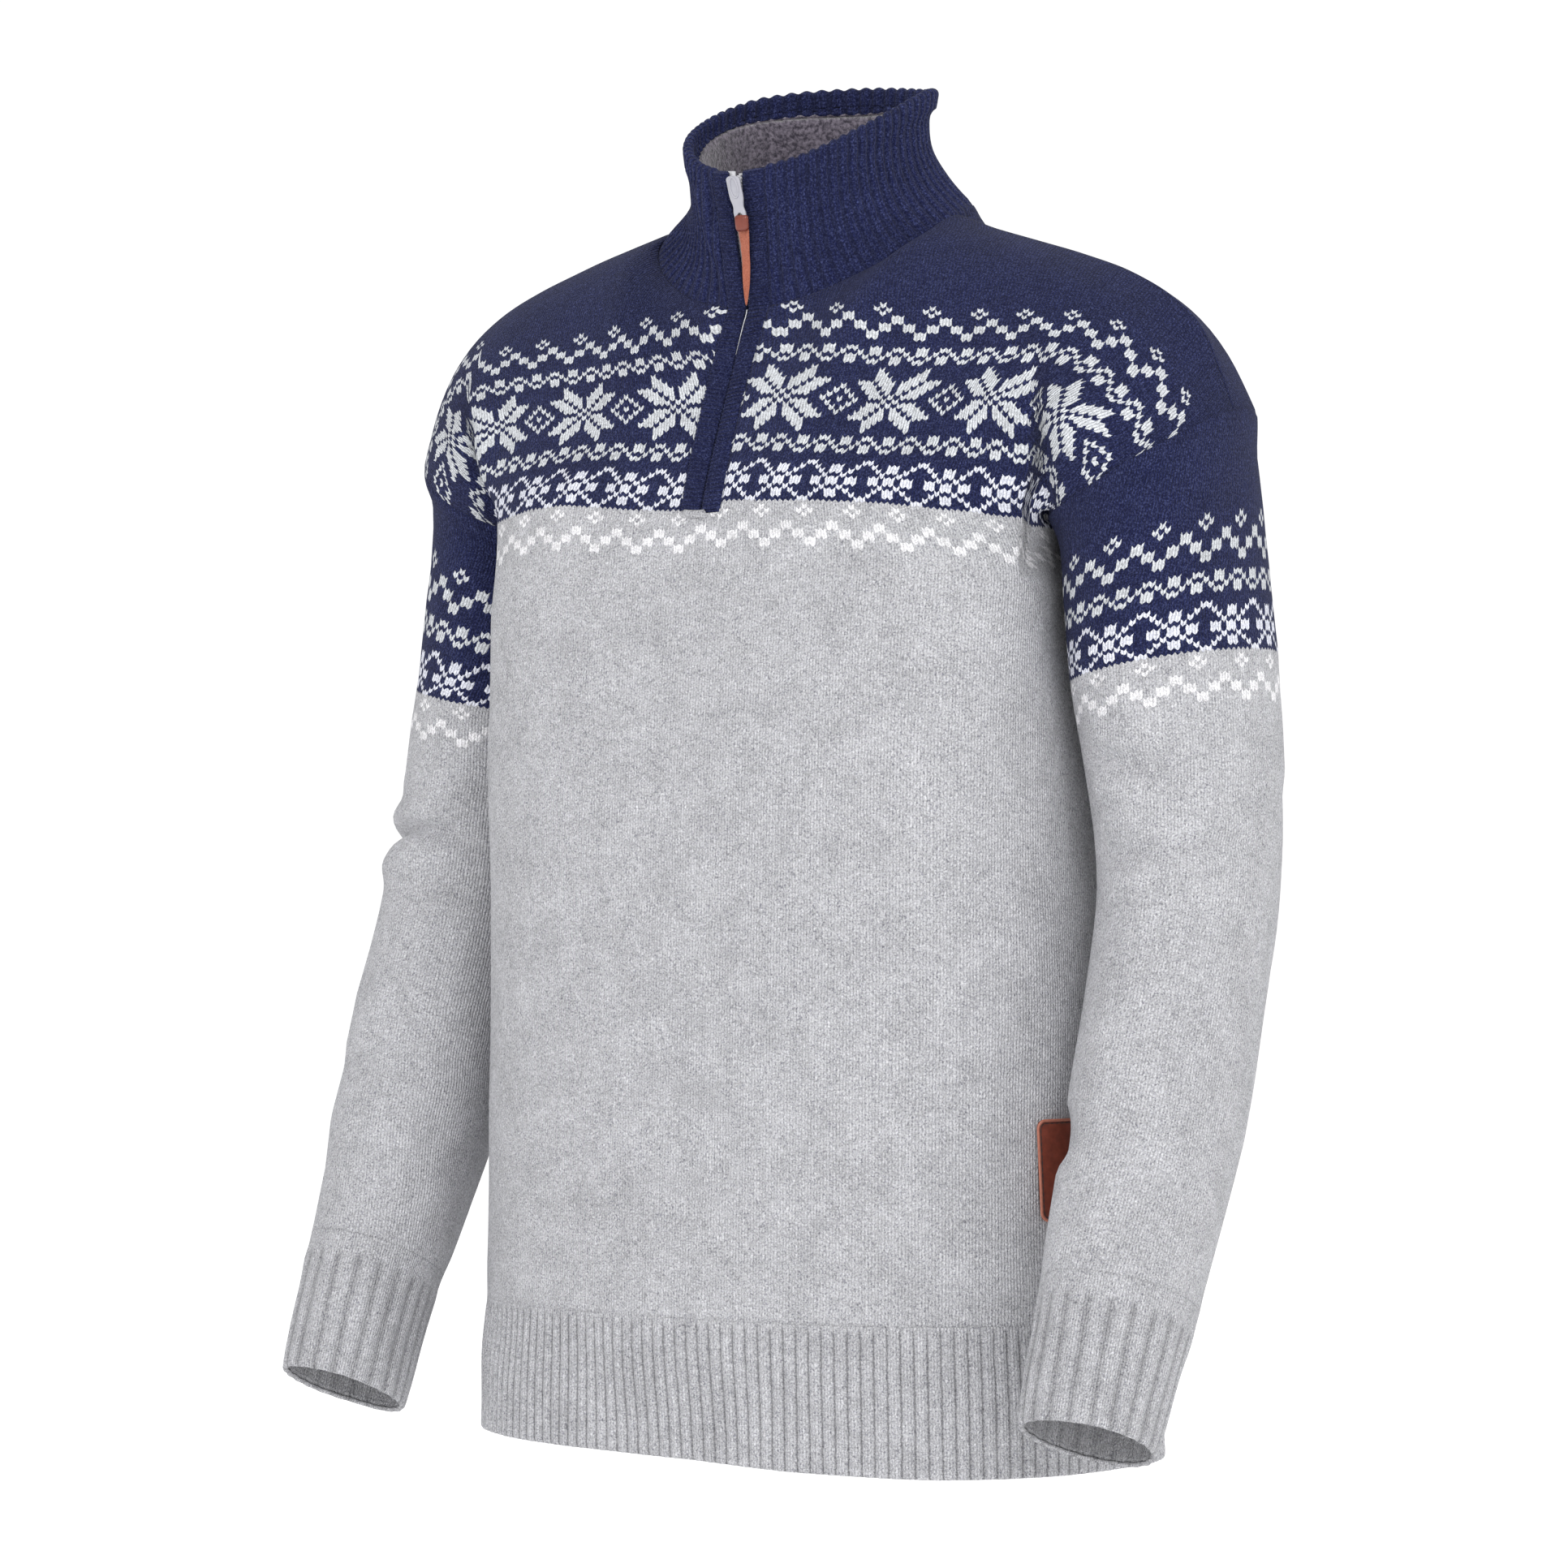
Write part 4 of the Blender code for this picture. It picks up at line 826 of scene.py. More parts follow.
def hemRib(face):
    cage = bodyCage(face)[:ribRow + 2]
    if face > 0:
        cage = cage[:, ::-1]
    columnWhere = divided(stepLengths(cage[1]), rib["spacing"])
    lengths = stepLengths(cage[:ribRow + 1, middleColumn])
    rowWhere = edgeRows(divided(lengths, rib["rowSpacing"]), lengths)
    points = finePoints(cage, rowWhere, columnWhere)
    along = arcLengths(points, 0)
    u = arcLengths(points[len(points) // 2:len(points) // 2 + 1], 1)[0]
    u = np.broadcast_to(u - u[len(u) // 2], points.shape[:2])
    u = u + rib["wave"] * smoothStep(0.0, 0.080, along) * bump(points[..., 0] + 0.015, 0.07)
    shape = ridge(u, ribPitch["hem"], rib["hemFullness"]) - 0.5
    fade = smoothStep(0.0, 0.008, along[-1] - along)
    relief = rib["hemRelief"] * shape * fade + rolledEdge(along)
    relief += rib["hemUnevenness"] * softNoise(points, 0.045, 7.0) * fade
    points = hung(points + gridNormals(points) * relief[..., None], face)
    return gridMesh("hem_rib", points, np.stack([u, along], 2))


for face, name, node in ((-1, "rib_hem_front", "hem_rib_front"), (1, "rib_hem_back", "hem_rib_back")):
    hem = addPiece(name, hemRib(face), hemRibKnit, "garment", node, rib["wall"])
print("hem ribbed")

sleeve = dict(spacing=0.0034, wall=0.0022, boundaryRing=3, tuck=0.0045, unevenness=0.0008)
outerColumn = 2 + len(yokeRows) - 1

# how far each arm's low and high side lie off the plain form, along the direction armAcross: z, low, high
armAcross = np.array([cos(radians(35)), sin(radians(35)), 0.0])
armDrape = dict(
    left=np.array([[-0.660, 0.0, -0.0065], [-0.644, 0.0, -0.0050], [-0.631, 0.0, -0.0035], [-0.610, 0.0, -0.0010],
                   [-0.550, 0.0, 0.0010], [-0.500, 0.0, 0.0022], [-0.450, 0.0, 0.0], [-0.410, 0.0, -0.0017],
                   [-0.360, 0.0, -0.0010], [-0.316, 0.0, 0.0], [-0.303, 0.0, 0.0022], [-0.264, 0.0, 0.0026],
                   [-0.238, 0.0, 0.0034], [-0.190, 0.0, 0.0017], [-0.159, 0.0, 0.0], [-0.133, 0.0, -0.0024]]),
    right=np.array([[-0.660, 0.0018, -0.0090], [-0.601, 0.0018, -0.0090], [-0.587, 0.0018, -0.0080],
                    [-0.559, 0.0019, -0.0061], [-0.530, 0.0014, -0.0050], [-0.502, -0.0019, -0.0040],
                    [-0.473, -0.0019, -0.0030], [-0.459, -0.0042, -0.0024], [-0.431, -0.0052, -0.0010],
                    [-0.402, -0.0038, 0.0], [-0.359, -0.0024, 0.0], [-0.321, 0.0, 0.0], [-0.302, 0.0024, 0.0],
                    [-0.274, 0.0028, 0.0], [-0.246, 0.0047, 0.0], [-0.203, 0.0046, 0.0], [-0.175, 0.0066, 0.0],
                    [-0.161, 0.0075, 0.0], [-0.146, 0.0070, 0.0], [-0.128, 0.0030, 0.0], [-0.110, 0.0, 0.0]]),
)


def draped(points, weight, name):
    flat = points @ armAcross
    middle = flat.mean(axis=1, keepdims=True)
    place = (flat - middle) / (np.ptp(flat, axis=1)[:, None] / 2)
    low, high = (np.interp(points[..., 2], armDrape[name][:, 0], armDrape[name][:, k]) for k in (1, 2))
    shift = (low * np.clip(-place, 0, 1) + high * np.clip(place, 0, 1)) * weight[:, None]
    return points + shift[..., None] * armAcross


def sleeveShell(side, rows, rowSpacing, columnSpacing, isCuff):
    sleeveRing = np.array(sleeveCage(sleeveRows))
    cuffRing = sleeveCage(cuffRows)
    cage = np.concatenate([sleeveRing, cuffRing[1:]])
    first, last = rows
    ring = cage[len(sleeveRows) - 1 if isCuff else 2]
    columnWhere = divided(stepLengths(np.concatenate([ring, ring[:1]])), columnSpacing)
    lengths = stepLengths(cage.mean(1))
    rowWhere = divided(lengths, rowSpacing)
    rowWhere = rowWhere[(rowWhere >= first) & (rowWhere <= last)]
    if isCuff:
        rowWhere = first + edgeRows(rowWhere - first, lengths[first:last])
    points = finePoints(cage, rowWhere, columnWhere, True)
    if side < 0:
        points = points[:, ::-1] * (-1, 1, 1)
    points = draped(points, smoothStep(0.0, 1.0, rowWhere), "left" if side > 0 else "right")
    points = points[::-1]  # rows run up the arm, so that faces point out
    return points, rowWhere[::-1], columnWhere if side > 0 else columnWhere[::-1]


def sleeveCloth(points, rowWhere, columnWhere):
    along = arcLengths(points, 0)
    smooth = rowWhere >= 1 - 1e-6
    top = int(np.flatnonzero(smooth)[-1])
    v = np.repeat(along.mean(1)[:, None], points.shape[1], 1)
    v[top + 1:] = v[top] + (along[top + 1:] - along[top])
    v = v - v[int(np.argmin(abs(rowWhere - sleeve["boundaryRing"])))]
    stepLength = np.linalg.norm(np.diff(points, axis=1), axis=2)
    stepUp = np.diff(v, axis=1)
    across = np.sqrt(np.maximum(stepLength ** 2 - stepUp ** 2, (0.4 * stepLength) ** 2))
    u = np.concatenate([np.zeros((len(points), 1)), np.cumsum(across, axis=1)], 1)
    middle = int(np.argmin(abs(columnWhere - outerColumn)))
    return np.stack([u - u[:, middle:middle + 1], v], 2), along


# folds: points along the fold as (u, v) of the cloth in metres, depth, half width
sleeveFolds = dict(
    left=[
        ([(-0.124, -0.0465), (-0.1000, -0.0500), (-0.0785, -0.0550), (-0.0593, -0.0595), (-0.0440, -0.0660)],
         0.0042, 0.0052),
        ([(-0.118, -0.0360), (-0.090, -0.0400), (-0.062, -0.0470)], -0.0016, 0.0070),
        ([(-0.123, -0.0640), (-0.100, -0.0680), (-0.070, -0.0760)], -0.0034, 0.0085),
        ([(-0.122, -0.0830), (-0.100, -0.0900), (-0.065, -0.0950), (-0.030, -0.0900)], -0.0020, 0.0085),
        ([(-0.124, -0.1060), (-0.0887, -0.1065), (-0.0670, -0.1095), (-0.0420, -0.1055), (-0.0180, -0.1025),
          (0.0130, -0.1070)], 0.0036, 0.0056),
        ([(-0.118, -0.1220), (-0.085, -0.1270), (-0.050, -0.1230)], -0.0022, 0.0110),
        ([(-0.112, -0.1480), (-0.080, -0.1520)], 0.0014, 0.0130),
        ([(-0.118, -0.2500), (-0.116, -0.2700), (-0.110, -0.2900)], 0.0048, 0.0200),
        # the side that faces back
        ([(0.040, -0.0620), (0.070, -0.0560), (0.105, -0.0600)], 0.0036, 0.0060),
        ([(0.055, -0.0760), (0.090, -0.0730)], -0.0022, 0.0090),
        ([(0.060, -0.1130), (0.095, -0.1180), (0.125, -0.1140)], 0.0030, 0.0065),
        ([(0.105, -0.1900), (0.070, -0.2040)], 0.0018, 0.0120),
    ],
    right=[
        ([(0.022, -0.0790), (0.050, -0.0765), (0.085, -0.0750)], 0.0016, 0.0070),
        ([(0.015, -0.0950), (0.045, -0.0890), (0.080, -0.0840)], -0.0020, 0.0070),
        ([(0.006, -0.1100), (0.035, -0.1040), (0.0677, -0.0955), (0.0990, -0.0945), (0.1203, -0.1020)],
         0.0085, 0.0050),
        ([(0.015, -0.1250), (0.045, -0.1200), (0.080, -0.1130), (0.105, -0.1130)], -0.0036, 0.0085),
        ([(0.060, -0.1380), (0.1045, -0.1340), (0.1260, -0.1290)], 0.0022, 0.0090),
        ([(0.052, -0.2380), (0.068, -0.2490), (0.088, -0.2540)], 0.0026, 0.0080),
        ([(-0.030, -0.0700), (-0.070, -0.0640), (-0.105, -0.0690)], 0.0036, 0.0062),
        ([(-0.050, -0.0850), (-0.090, -0.0830)], -0.0022, 0.0090),
        ([(-0.055, -0.1230), (-0.100, -0.1180)], 0.0028, 0.0070),
    ],
)
boundaryDrop = dict(left=0.0, right=0.015)  # the far sleeve was pulled further down the arm
# the sleeve's navy end is twisted on the arm: how far its stitches lie aside and low for each metre up from a row
armTwist = dict(left=(0.012, 0.27, 0.012, [[-0.110, 0.170], [-0.087, 0.146], [-0.059, 0.111], [0.0, 0.055]]),
                right=(0.0, 0.335, 0.0157, [[-0.100, 0.32], [0.100, 0.32]]))


def twisted(cloth, name):
    asideFrom, aside, lowFrom, low = armTwist[name]
    u, v = cloth[..., 0], cloth[..., 1]
    sunk = np.interp(u, *np.array(low).T) * np.maximum(v - lowFrom, 0)
    return np.stack([u - aside * np.maximum(v - asideFrom, 0), v - sunk], 2)


def sleeveMesh(side, name):
    points, rowWhere, columnWhere = sleeveShell(side, (0, len(sleeveRows) - 1), sleeve["spacing"],
                                                sleeve["spacing"], False)
    cloth, along = sleeveCloth(points, rowWhere, columnWhere)
    relief = seamDip(along[-1] - along, 0.0006, 0.006)
    relief += sleeve["unevenness"] * softNoise(points, 0.05, 11.0 + side)
    relief += foldDepth(cloth, sleeveFolds[name])
    relief *= smoothStep(0.0, 0.012, along)
    cloth = twisted(cloth + (0, boundaryDrop[name]), name)
    normals = gridNormals(points, True)
    shaped = points + normals * relief[..., None]
    # the seam's edge goes on under the body
    under = shaped[-1] + unit(points[-1] - points[-2]) * sleeve["tuck"] - normals[-1] * sleeve["wall"]
    shaped = np.concatenate([shaped, under[None]])
    cloth = np.concatenate([cloth, cloth[-1:] + (0, sleeve["tuck"])])
    return gridMesh("sleeve", shaped, cloth, closed=True)


def cuffMesh(side):
    rows = (len(sleeveRows) - 1, len(sleeveRows) + len(cuffRows) - 2)
    points = sleeveShell(side, rows, rib["rowSpacing"], rib["spacing"], True)[0]
    along = arcLengths(points, 0)
    u = arcLengths(points[len(points) // 2:len(points) // 2 + 1], 1)[0]
    ribs = round(u[-1] / ribPitch["cuff"])
    u = u * ribs * ribPitch["cuff"] / u[-1]  # a whole number of ribs round the wrist
    u = np.broadcast_to(u, points.shape[:2])
    fade = smoothStep(0.004, 0.016, along[-1] - along)
    shape = ridge(u, ribPitch["cuff"], rib["cuffFullness"]) - 0.5
    relief = rib["cuffRelief"] * shape * fade + rolledEdge(along)
    relief += rib["cuffUnevenness"] * softNoise(points, 0.035, 17.0 + side) * fade
    points = points + gridNormals(points, True) * relief[..., None]
    return gridMesh("cuff", points, np.stack([u, along], 2), closed=True)


for side, name in ((1, "left"), (-1, "right")):
    arm = addPiece("knit_sleeve_" + name, sleeveMesh(side, name), sleeveKnit, "garment", "sleeve_" + name,
                   sleeve["wall"])
    cuff = addPiece("rib_cuff_" + name, cuffMesh(side), cuffRibKnit, "garment", "cuff_" + name,
                    rib["wall"])
print("sleeves and cuffs knitted")

stand = dict(tuck=0.0040, spacing=0.0010, rowSpacing=0.0030, roll=0.0027, relief=0.0014, unevenness=0.0006,
             wall=0.0012, frontPitch=0.0064, backPitch=0.0092, liningFrom=4.0)

# how far the rim sinks between the rings 3 and 6, and how far the wall draws in at each ring: angle, half width
# of the dip, depth
rimDips = [(radians(135), radians(32), 0.0050), (radians(-90), radians(30), 0.0028)]
wallDips = [(radians(125), radians(42), [0, 0.0036, 0.0064, 0.0056, 0.0036, 0.0026, 0.0]),
            (radians(-60), radians(34), [0, 0.0050, 0.0052, 0.0034, 0.0024, 0.0018, 0.0])]
# soft fold that rolls beside the band: z, angle from the front and its lift
collarFold = np.array([[-0.046, -0.17, 0.0], [-0.030, -0.23, 0.0016], [-0.0167, -0.31, 0.0030],
                       [0.005, -0.40, 0.0036], [0.018, -0.44, 0.0026], [0.027, -0.46, 0.0]])


def collarCage():
    cage = []
    for k, ring in enumerate(collarRows):
        high = min(max((k - 3) / 2, 0), 1)
        row = []
        for angle in collarAngles(ring):
            point = collarPoint(ring, angle)
            sink = sum(depth * bump(angle - middle, width) for middle, width, depth in rimDips)
            draw = sum(depths[k] * bump(angle - middle, width) for middle, width, depths in wallDips)
            row.append(point - (0, 0, high * sink) - draw * np.array([sin(angle), -cos(angle), 0]))
        cage.append(row)
    return np.array(cage)


def collarMesh():
    cage = collarCage()
    rim = cage[-1]
    columnWhere = divided(stepLengths(rim), stand["spacing"])
    lengths = stepLengths(cage[:, len(rim) // 2])
    top = len(lengths) - stand["roll"] / lengths[-1]
    outer = divided(lengths, stand["rowSpacing"])
    outer = outer[outer < top - 0.1]
    inner = np.linspace(top, stand["liningFrom"] - 0.25, 8)[1:]
    turn = np.linspace(0, pi, 9)
    rowWhere = np.concatenate([outer, np.full(9, top), inner])
    angle = np.concatenate([np.zeros(len(outer)), turn, np.full(len(inner), pi)])[:, None]
    points = finePoints(cage, rowWhere, columnWhere)
    above, below = np.minimum(rowWhere + 0.02, len(cage) - 1), rowWhere - 0.02
    up = finePoints(cage, above, columnWhere) - finePoints(cage, below, columnWhere)
    up = unit(up)
    out = unit(np.cross(np.gradient(points, axis=1), up))
    # closer ribs at the front, wider ones behind
    topLine = finePoints(cage, [len(cage) - 1.0], columnWhere)[0]
    change = (stand["backPitch"] - stand["frontPitch"]) * smoothStep(-0.02, 0.06, topLine[:-1, 1])
    pitch = stand["frontPitch"] + change
    u = np.concatenate([[0], np.cumsum(stepLengths(topLine) / pitch)]) * ribPitch["collar"]
    u = np.broadcast_to(u - u[len(u) // 2], points.shape[:2])
    facing = np.cos(angle)[..., None] * out + np.sin(angle)[..., None] * up
    rolled = points + stand["roll"] * (facing - out)
    along = arcLengths(rolled, 0)
    fade = smoothStep(0.0, 0.005, along)
    relief = stand["relief"] * (ridge(u, ribPitch["collar"]) - 0.5) * fade + seamDip(along, 0.0003, 0.003)
    relief += stand["unevenness"] * softNoise(points, 0.03, 23.0)
    turned = np.arctan2(points[..., 0], -points[..., 1])
    foldAngle, lift = (np.interp(points[..., 2], collarFold[:, 0], collarFold[:, k]) for k in (1, 2))
    relief += lift * (bump(turned - foldAngle, 0.085) - 0.8 * bump(turned - foldAngle - 0.17, 0.07))
    shaped, cloth = rolled + facing * relief[..., None], np.stack([u, along], 2)
    # the seam's edge goes on under the body
    under = shaped[:1] - up[:1] * stand["tuck"] - out[:1] * panel["wall"]
    cloth = np.concatenate([cloth[:1] - (0, stand["tuck"]), cloth])
    return gridMesh("collar", np.concatenate([under, shaped]), cloth)


pile = dict(rings=5, spacing=0.003, inside=0.0034, unevenness=0.0004, wall=0.0018)


def liningMesh():
    cage = collarCage()[:pile["rings"]]
    columnWhere = divided(stepLengths(cage[-1]), pile["spacing"])
    lengths = stepLengths(cage[:, cage.shape[1] // 2])
    points = finePoints(cage, edgeRows(divided(lengths, pile["spacing"]), lengths), columnWhere)
    along = arcLengths(points, 0)
    relief = pile["unevenness"] * softNoise(points, 0.012, 29.0) - pile["inside"]
    relief -= rolledEdge(along[-1] - along, -0.0012)
    points = points + gridNormals(points) * relief[..., None]
    return gridMesh("lining", points, np.stack([arcLengths(points, 1), along], 2))


collar = addPiece("rib_collar", collarMesh(), collarKnit, "garment", "collar", stand["wall"])
lining = addPiece("fleece_lining", liningMesh(), fleece, "garment", "collar_lining", pile["wall"])
print("collar made")

fastener = dict(bandWall=0.0045, bandLift=0.0012, ridgePitch=0.00235, ridgeRelief=0.0006, wider=0.0012,
                closer=0.0009, bandEdge=0.0008, bandStitch=0.0012, depth=0.00364, tapeWall=0.0008,
                tapeReach=0.92, tapeInner=0.0034, toothPitch=0.0020, tooth=(0.0024, 0.0009, 0.0013),
                toothAside=0.0006, toothSunk=0.0007,
                footClear=0.012, coil=(-0.074, -0.047), coilRadius=(0.0001, 0.00028))


def zipLine(share):
    rows = [yokePoint(-1, share * slot, row) for row in yokeRows[1:]]
    return np.array(rows + [mirrored(collarPoint(ring, neckAngle(share * slot, ring)), share)
                            for ring in collarRows[1:]])


def zipFrames(spacing):  # fine points up the middle of the zip, with their outward directions
    middle = zipLine(0.0)
    where = divided(stepLengths(middle), spacing)
    line = splineAt(middle, where)
    up = unit(np.gradient(line, axis=0))
    out = np.cross(np.array([[1.0, 0, 0]]), up)
    return where, line, up, out


def bandMesh(side):
    where, line, _, out = zipFrames(0.0006)
    outer = splineAt(zipLine(side), where)
    # the right band stands a little further off at the top, and the left one closes over the zip
    wider = (smoothStep(-0.060, 0.028, line[:, 2]) * fastener["wider"] if side < 0
             else -fastener["closer"] * smoothStep(-0.090, -0.050, line[:, 2]))
    gap = (np.array([bandGap(p[2]) for p in line]) + wider) / abs(outer[:, 0])
    inner = line + (outer - line) * gap[:, None]
    outer = outer + unit(outer - inner) * fastener["bandEdge"]
    turn = np.linspace(0, 2 * pi, 25)[:-1]
    across = 0.5 + 0.5 * np.sign(np.cos(turn)) * abs(np.cos(turn)) ** 0.55
    height = np.sign(np.sin(turn)) * abs(np.sin(turn)) ** 0.7
    along = runningLength(line)
    # the last millimetres turn in at both ends
    toEnd = np.minimum(along, along[-1] - along)
    shrink = 1 - 0.7 * np.clip(1 - toEnd / 0.0028, 0, 1) ** 2
    ripple = fastener["ridgeRelief"] * np.cos(2 * pi * along / fastener["ridgePitch"])
    half = fastener["bandWall"] / 2
    middle = fastener["bandLift"] - half
    crown = 0.5 + (across[None] - 0.5) * (0.9 + 0.1 * shrink[:, None])
    points = outer[:, None] + (inner - outer)[:, None] * crown[..., None]
    lift = middle + height[None] * (half * shrink[:, None] + 0.0003 + ripple[:, None])
    points = points + out[:, None] * lift[..., None]
    cloth = np.broadcast_arrays(along[:, None] + fastener["bandStitch"], np.linspace(0, 0.03, 24)[None])
    cloth = np.stack(cloth, 2)
    points = np.concatenate([points, points[:, :1]], 1)
    cloth = np.concatenate([cloth, cloth[:, -1:] + (0, 0.0013)], 1)
    if side > 0:
        points, cloth = points[:, ::-1], cloth[:, ::-1]
    mesh = gridMesh("band", points, cloth, closed=True)
    bm = bmesh.new()
    bm.from_mesh(mesh)
    bmesh.ops.holes_fill(bm, edges=[e for e in bm.edges if e.is_boundary])
    bmesh.ops.recalc_face_normals(bm, faces=bm.faces)
    for face in bm.faces:
        face.smooth = len(face.verts) < 5
    bm.to_mesh(mesh)
    bm.free()
    return mesh


def tapeMesh(side):
    where, line, _, out = zipFrames(0.004)
    outer = splineAt(zipLine(fastener["tapeReach"] * side), where)
    shareIn = fastener["tapeInner"] / abs(outer[:, 0])
    across = np.linspace(0, 1, 5)[None, :, None]
    inner = line + (outer - line) * shareIn[:, None]
    shown = line[:, 2] > line[0, 2] + fastener["footClear"]
    outer, inner, out = outer[shown], inner[shown], out[shown]
    points = (outer[:, None] * (1 - across) + inner[:, None] * across) - out[:, None] * fastener["depth"]
    if side > 0:
        points = points[:, ::-1]
    return gridMesh("tape", points, points[..., [0, 2]])


def teethMesh():
    _, line, up, out = zipFrames(0.0005)
    along = runningLength(line)
    bm = bmesh.new()
    for k, place in enumerate(np.arange(fastener["footClear"], along[-1] - 0.001, fastener["toothPitch"] / 2)):
        at = [np.interp(place, along, line[:, axis]) for axis in range(3)]
        n = int(np.searchsorted(along, place)) - 1
        basis = Matrix(((1, up[n][0], out[n][0]), (0, up[n][1], out[n][1]), (0, up[n][2], out[n][2]))).to_4x4()
        made = bmesh.ops.create_cube(bm, size=1.0)["verts"]
        side = 1 if k % 2 else -1
        bmesh.ops.scale(bm, vec=fastener["tooth"], verts=made)
        aside, sunk = side * fastener["toothAside"], fastener["depth"] + fastener["toothSunk"]
        bmesh.ops.translate(bm, vec=(aside, 0, -sunk), verts=made)
        bmesh.ops.transform(bm, matrix=Matrix.Translation(at) @ basis, verts=made)
    bmesh.ops.bevel(bm, geom=bm.edges, offset=0.00015, segments=1, profile=0.5, affect="EDGES", material=-1)
    return meshFrom(bm, "teeth")


for side, name in ((1, "left"), (-1, "right")):
    band = addPiece("band_" + name, bandMesh(side), bandKnit, "garment", "placket_band_" + name)
    tape = addPiece("tape_" + name, tapeMesh(side), tapeWeave, "garment", "zip_tape_" + name,
                    fastener["tapeWall"])


def coilMesh():  # the closed zip's edge shows as a thin pale line between the bands
    _, line, _, out = zipFrames(0.0015)
    low, high = fastener["coil"]
    shown = (line[:, 2] > low) & (line[:, 2] < high)
    line, out = line[shown], out[shown]
    ring = np.linspace(0, 2 * pi, 7)[None, :, None]
    size = np.interp(line[:, 2], [low, low + 0.015], fastener["coilRadius"])[:, None, None]
    middle = (line + out * 0.0002)[:, None]
    points = middle + size * (np.cos(ring) * np.array([1.0, 0, 0]) + np.sin(ring) * out[:, None])
    points[:, -1] = points[:, 0]
    return gridMesh("coil", points, points[..., [0, 2]], closed=True)


addPiece("zip_coil_edge", coilMesh(), nylon, "garment", None)
addPiece("zip_teeth", teethMesh(), nylon, "garment", "zip_chain")
print("placket and zip made")

# sizes are across, through and along the zip; places are from the slider's top or from the hinge
hardware = dict(
    tilt=0.155, top=(0.0, -0.0735, 0.0215), hinge=(0, -0.0045, -0.0023),
    slider=(0.0074, 0.0030, 0.0110), sliderAt=(0, -0.0010, -0.0055),
    post=(0.0016, 0.0040, 0.0034), postAt=(0, -0.0030, -0.0023),
    plateTop=0.0040, plateEnd=0.0200, plateHalf=0.0043, plateWall=0.0014, arch=(0.0024, 0.0034),
    rim=(0.0025, 0.0056), rimAt=(-0.0015, -0.0026), rimRadius=0.00050, arm=(0.0013, 0.0024, 0.0052),
    ringRadius=0.0019, ringWire=0.00042, ringAt=(0.0004, -0.0002, -0.0192),
    cap=(0.0088, 0.0040, 0.0092), capAt=(0.0005, -0.0006, -0.0223),
    strapFrom=0.0255, strapLength=0.0410, strapWall=0.0013, strapTwist=0.5, rise=0.0018,
    lean=([-0.004, 0.018, 0.024, 0.045, 0.068], [0.0018, 0.0049, 0.0050, 0.0044, 0.0026]),
)
zipFrame = Matrix.Translation(hardware["top"]) @ Matrix.Rotation(hardware["tilt"], 4, "X")
hingeFrame = zipFrame @ Matrix.Translation(hardware["hinge"])


def finishMesh(bm, name, place):
    bmesh.ops.transform(bm, matrix=place, verts=bm.verts)
    bmesh.ops.recalc_face_normals(bm, faces=bm.faces)
    for face in bm.faces:
        face.smooth = True
    return meshFrom(bm, name)


def addBlock(bm, size, centre, bevel, segments=3, foot=1.0):
    made = bmesh.ops.create_cube(bm, size=1.0)["verts"]
    bmesh.ops.scale(bm, vec=size, verts=made)
    bmesh.ops.scale(bm, vec=(foot, 1, 1), verts=[v for v in made if v.co.z < 0])
    bmesh.ops.translate(bm, vec=centre, verts=made)
    edges = list({e for v in made for e in v.link_edges})
    bmesh.ops.bevel(bm, geom=edges, offset=bevel, segments=segments, profile=0.5, affect="EDGES", material=-1)


def hangAside(bm):  # the pull leans to the left as it hangs
    for vert in bm.verts:
        vert.co.x += np.interp(-vert.co.z, *hardware["lean"])
        vert.co.z += hardware["rise"]


def sliderMesh():
    bm = bmesh.new()
    addBlock(bm, hardware["slider"], hardware["sliderAt"], 0.0009, 4, 0.62)
    addBlock(bm, hardware["post"], hardware["postAt"], 0.0006)
    return finishMesh(bm, "slider", zipFrame)


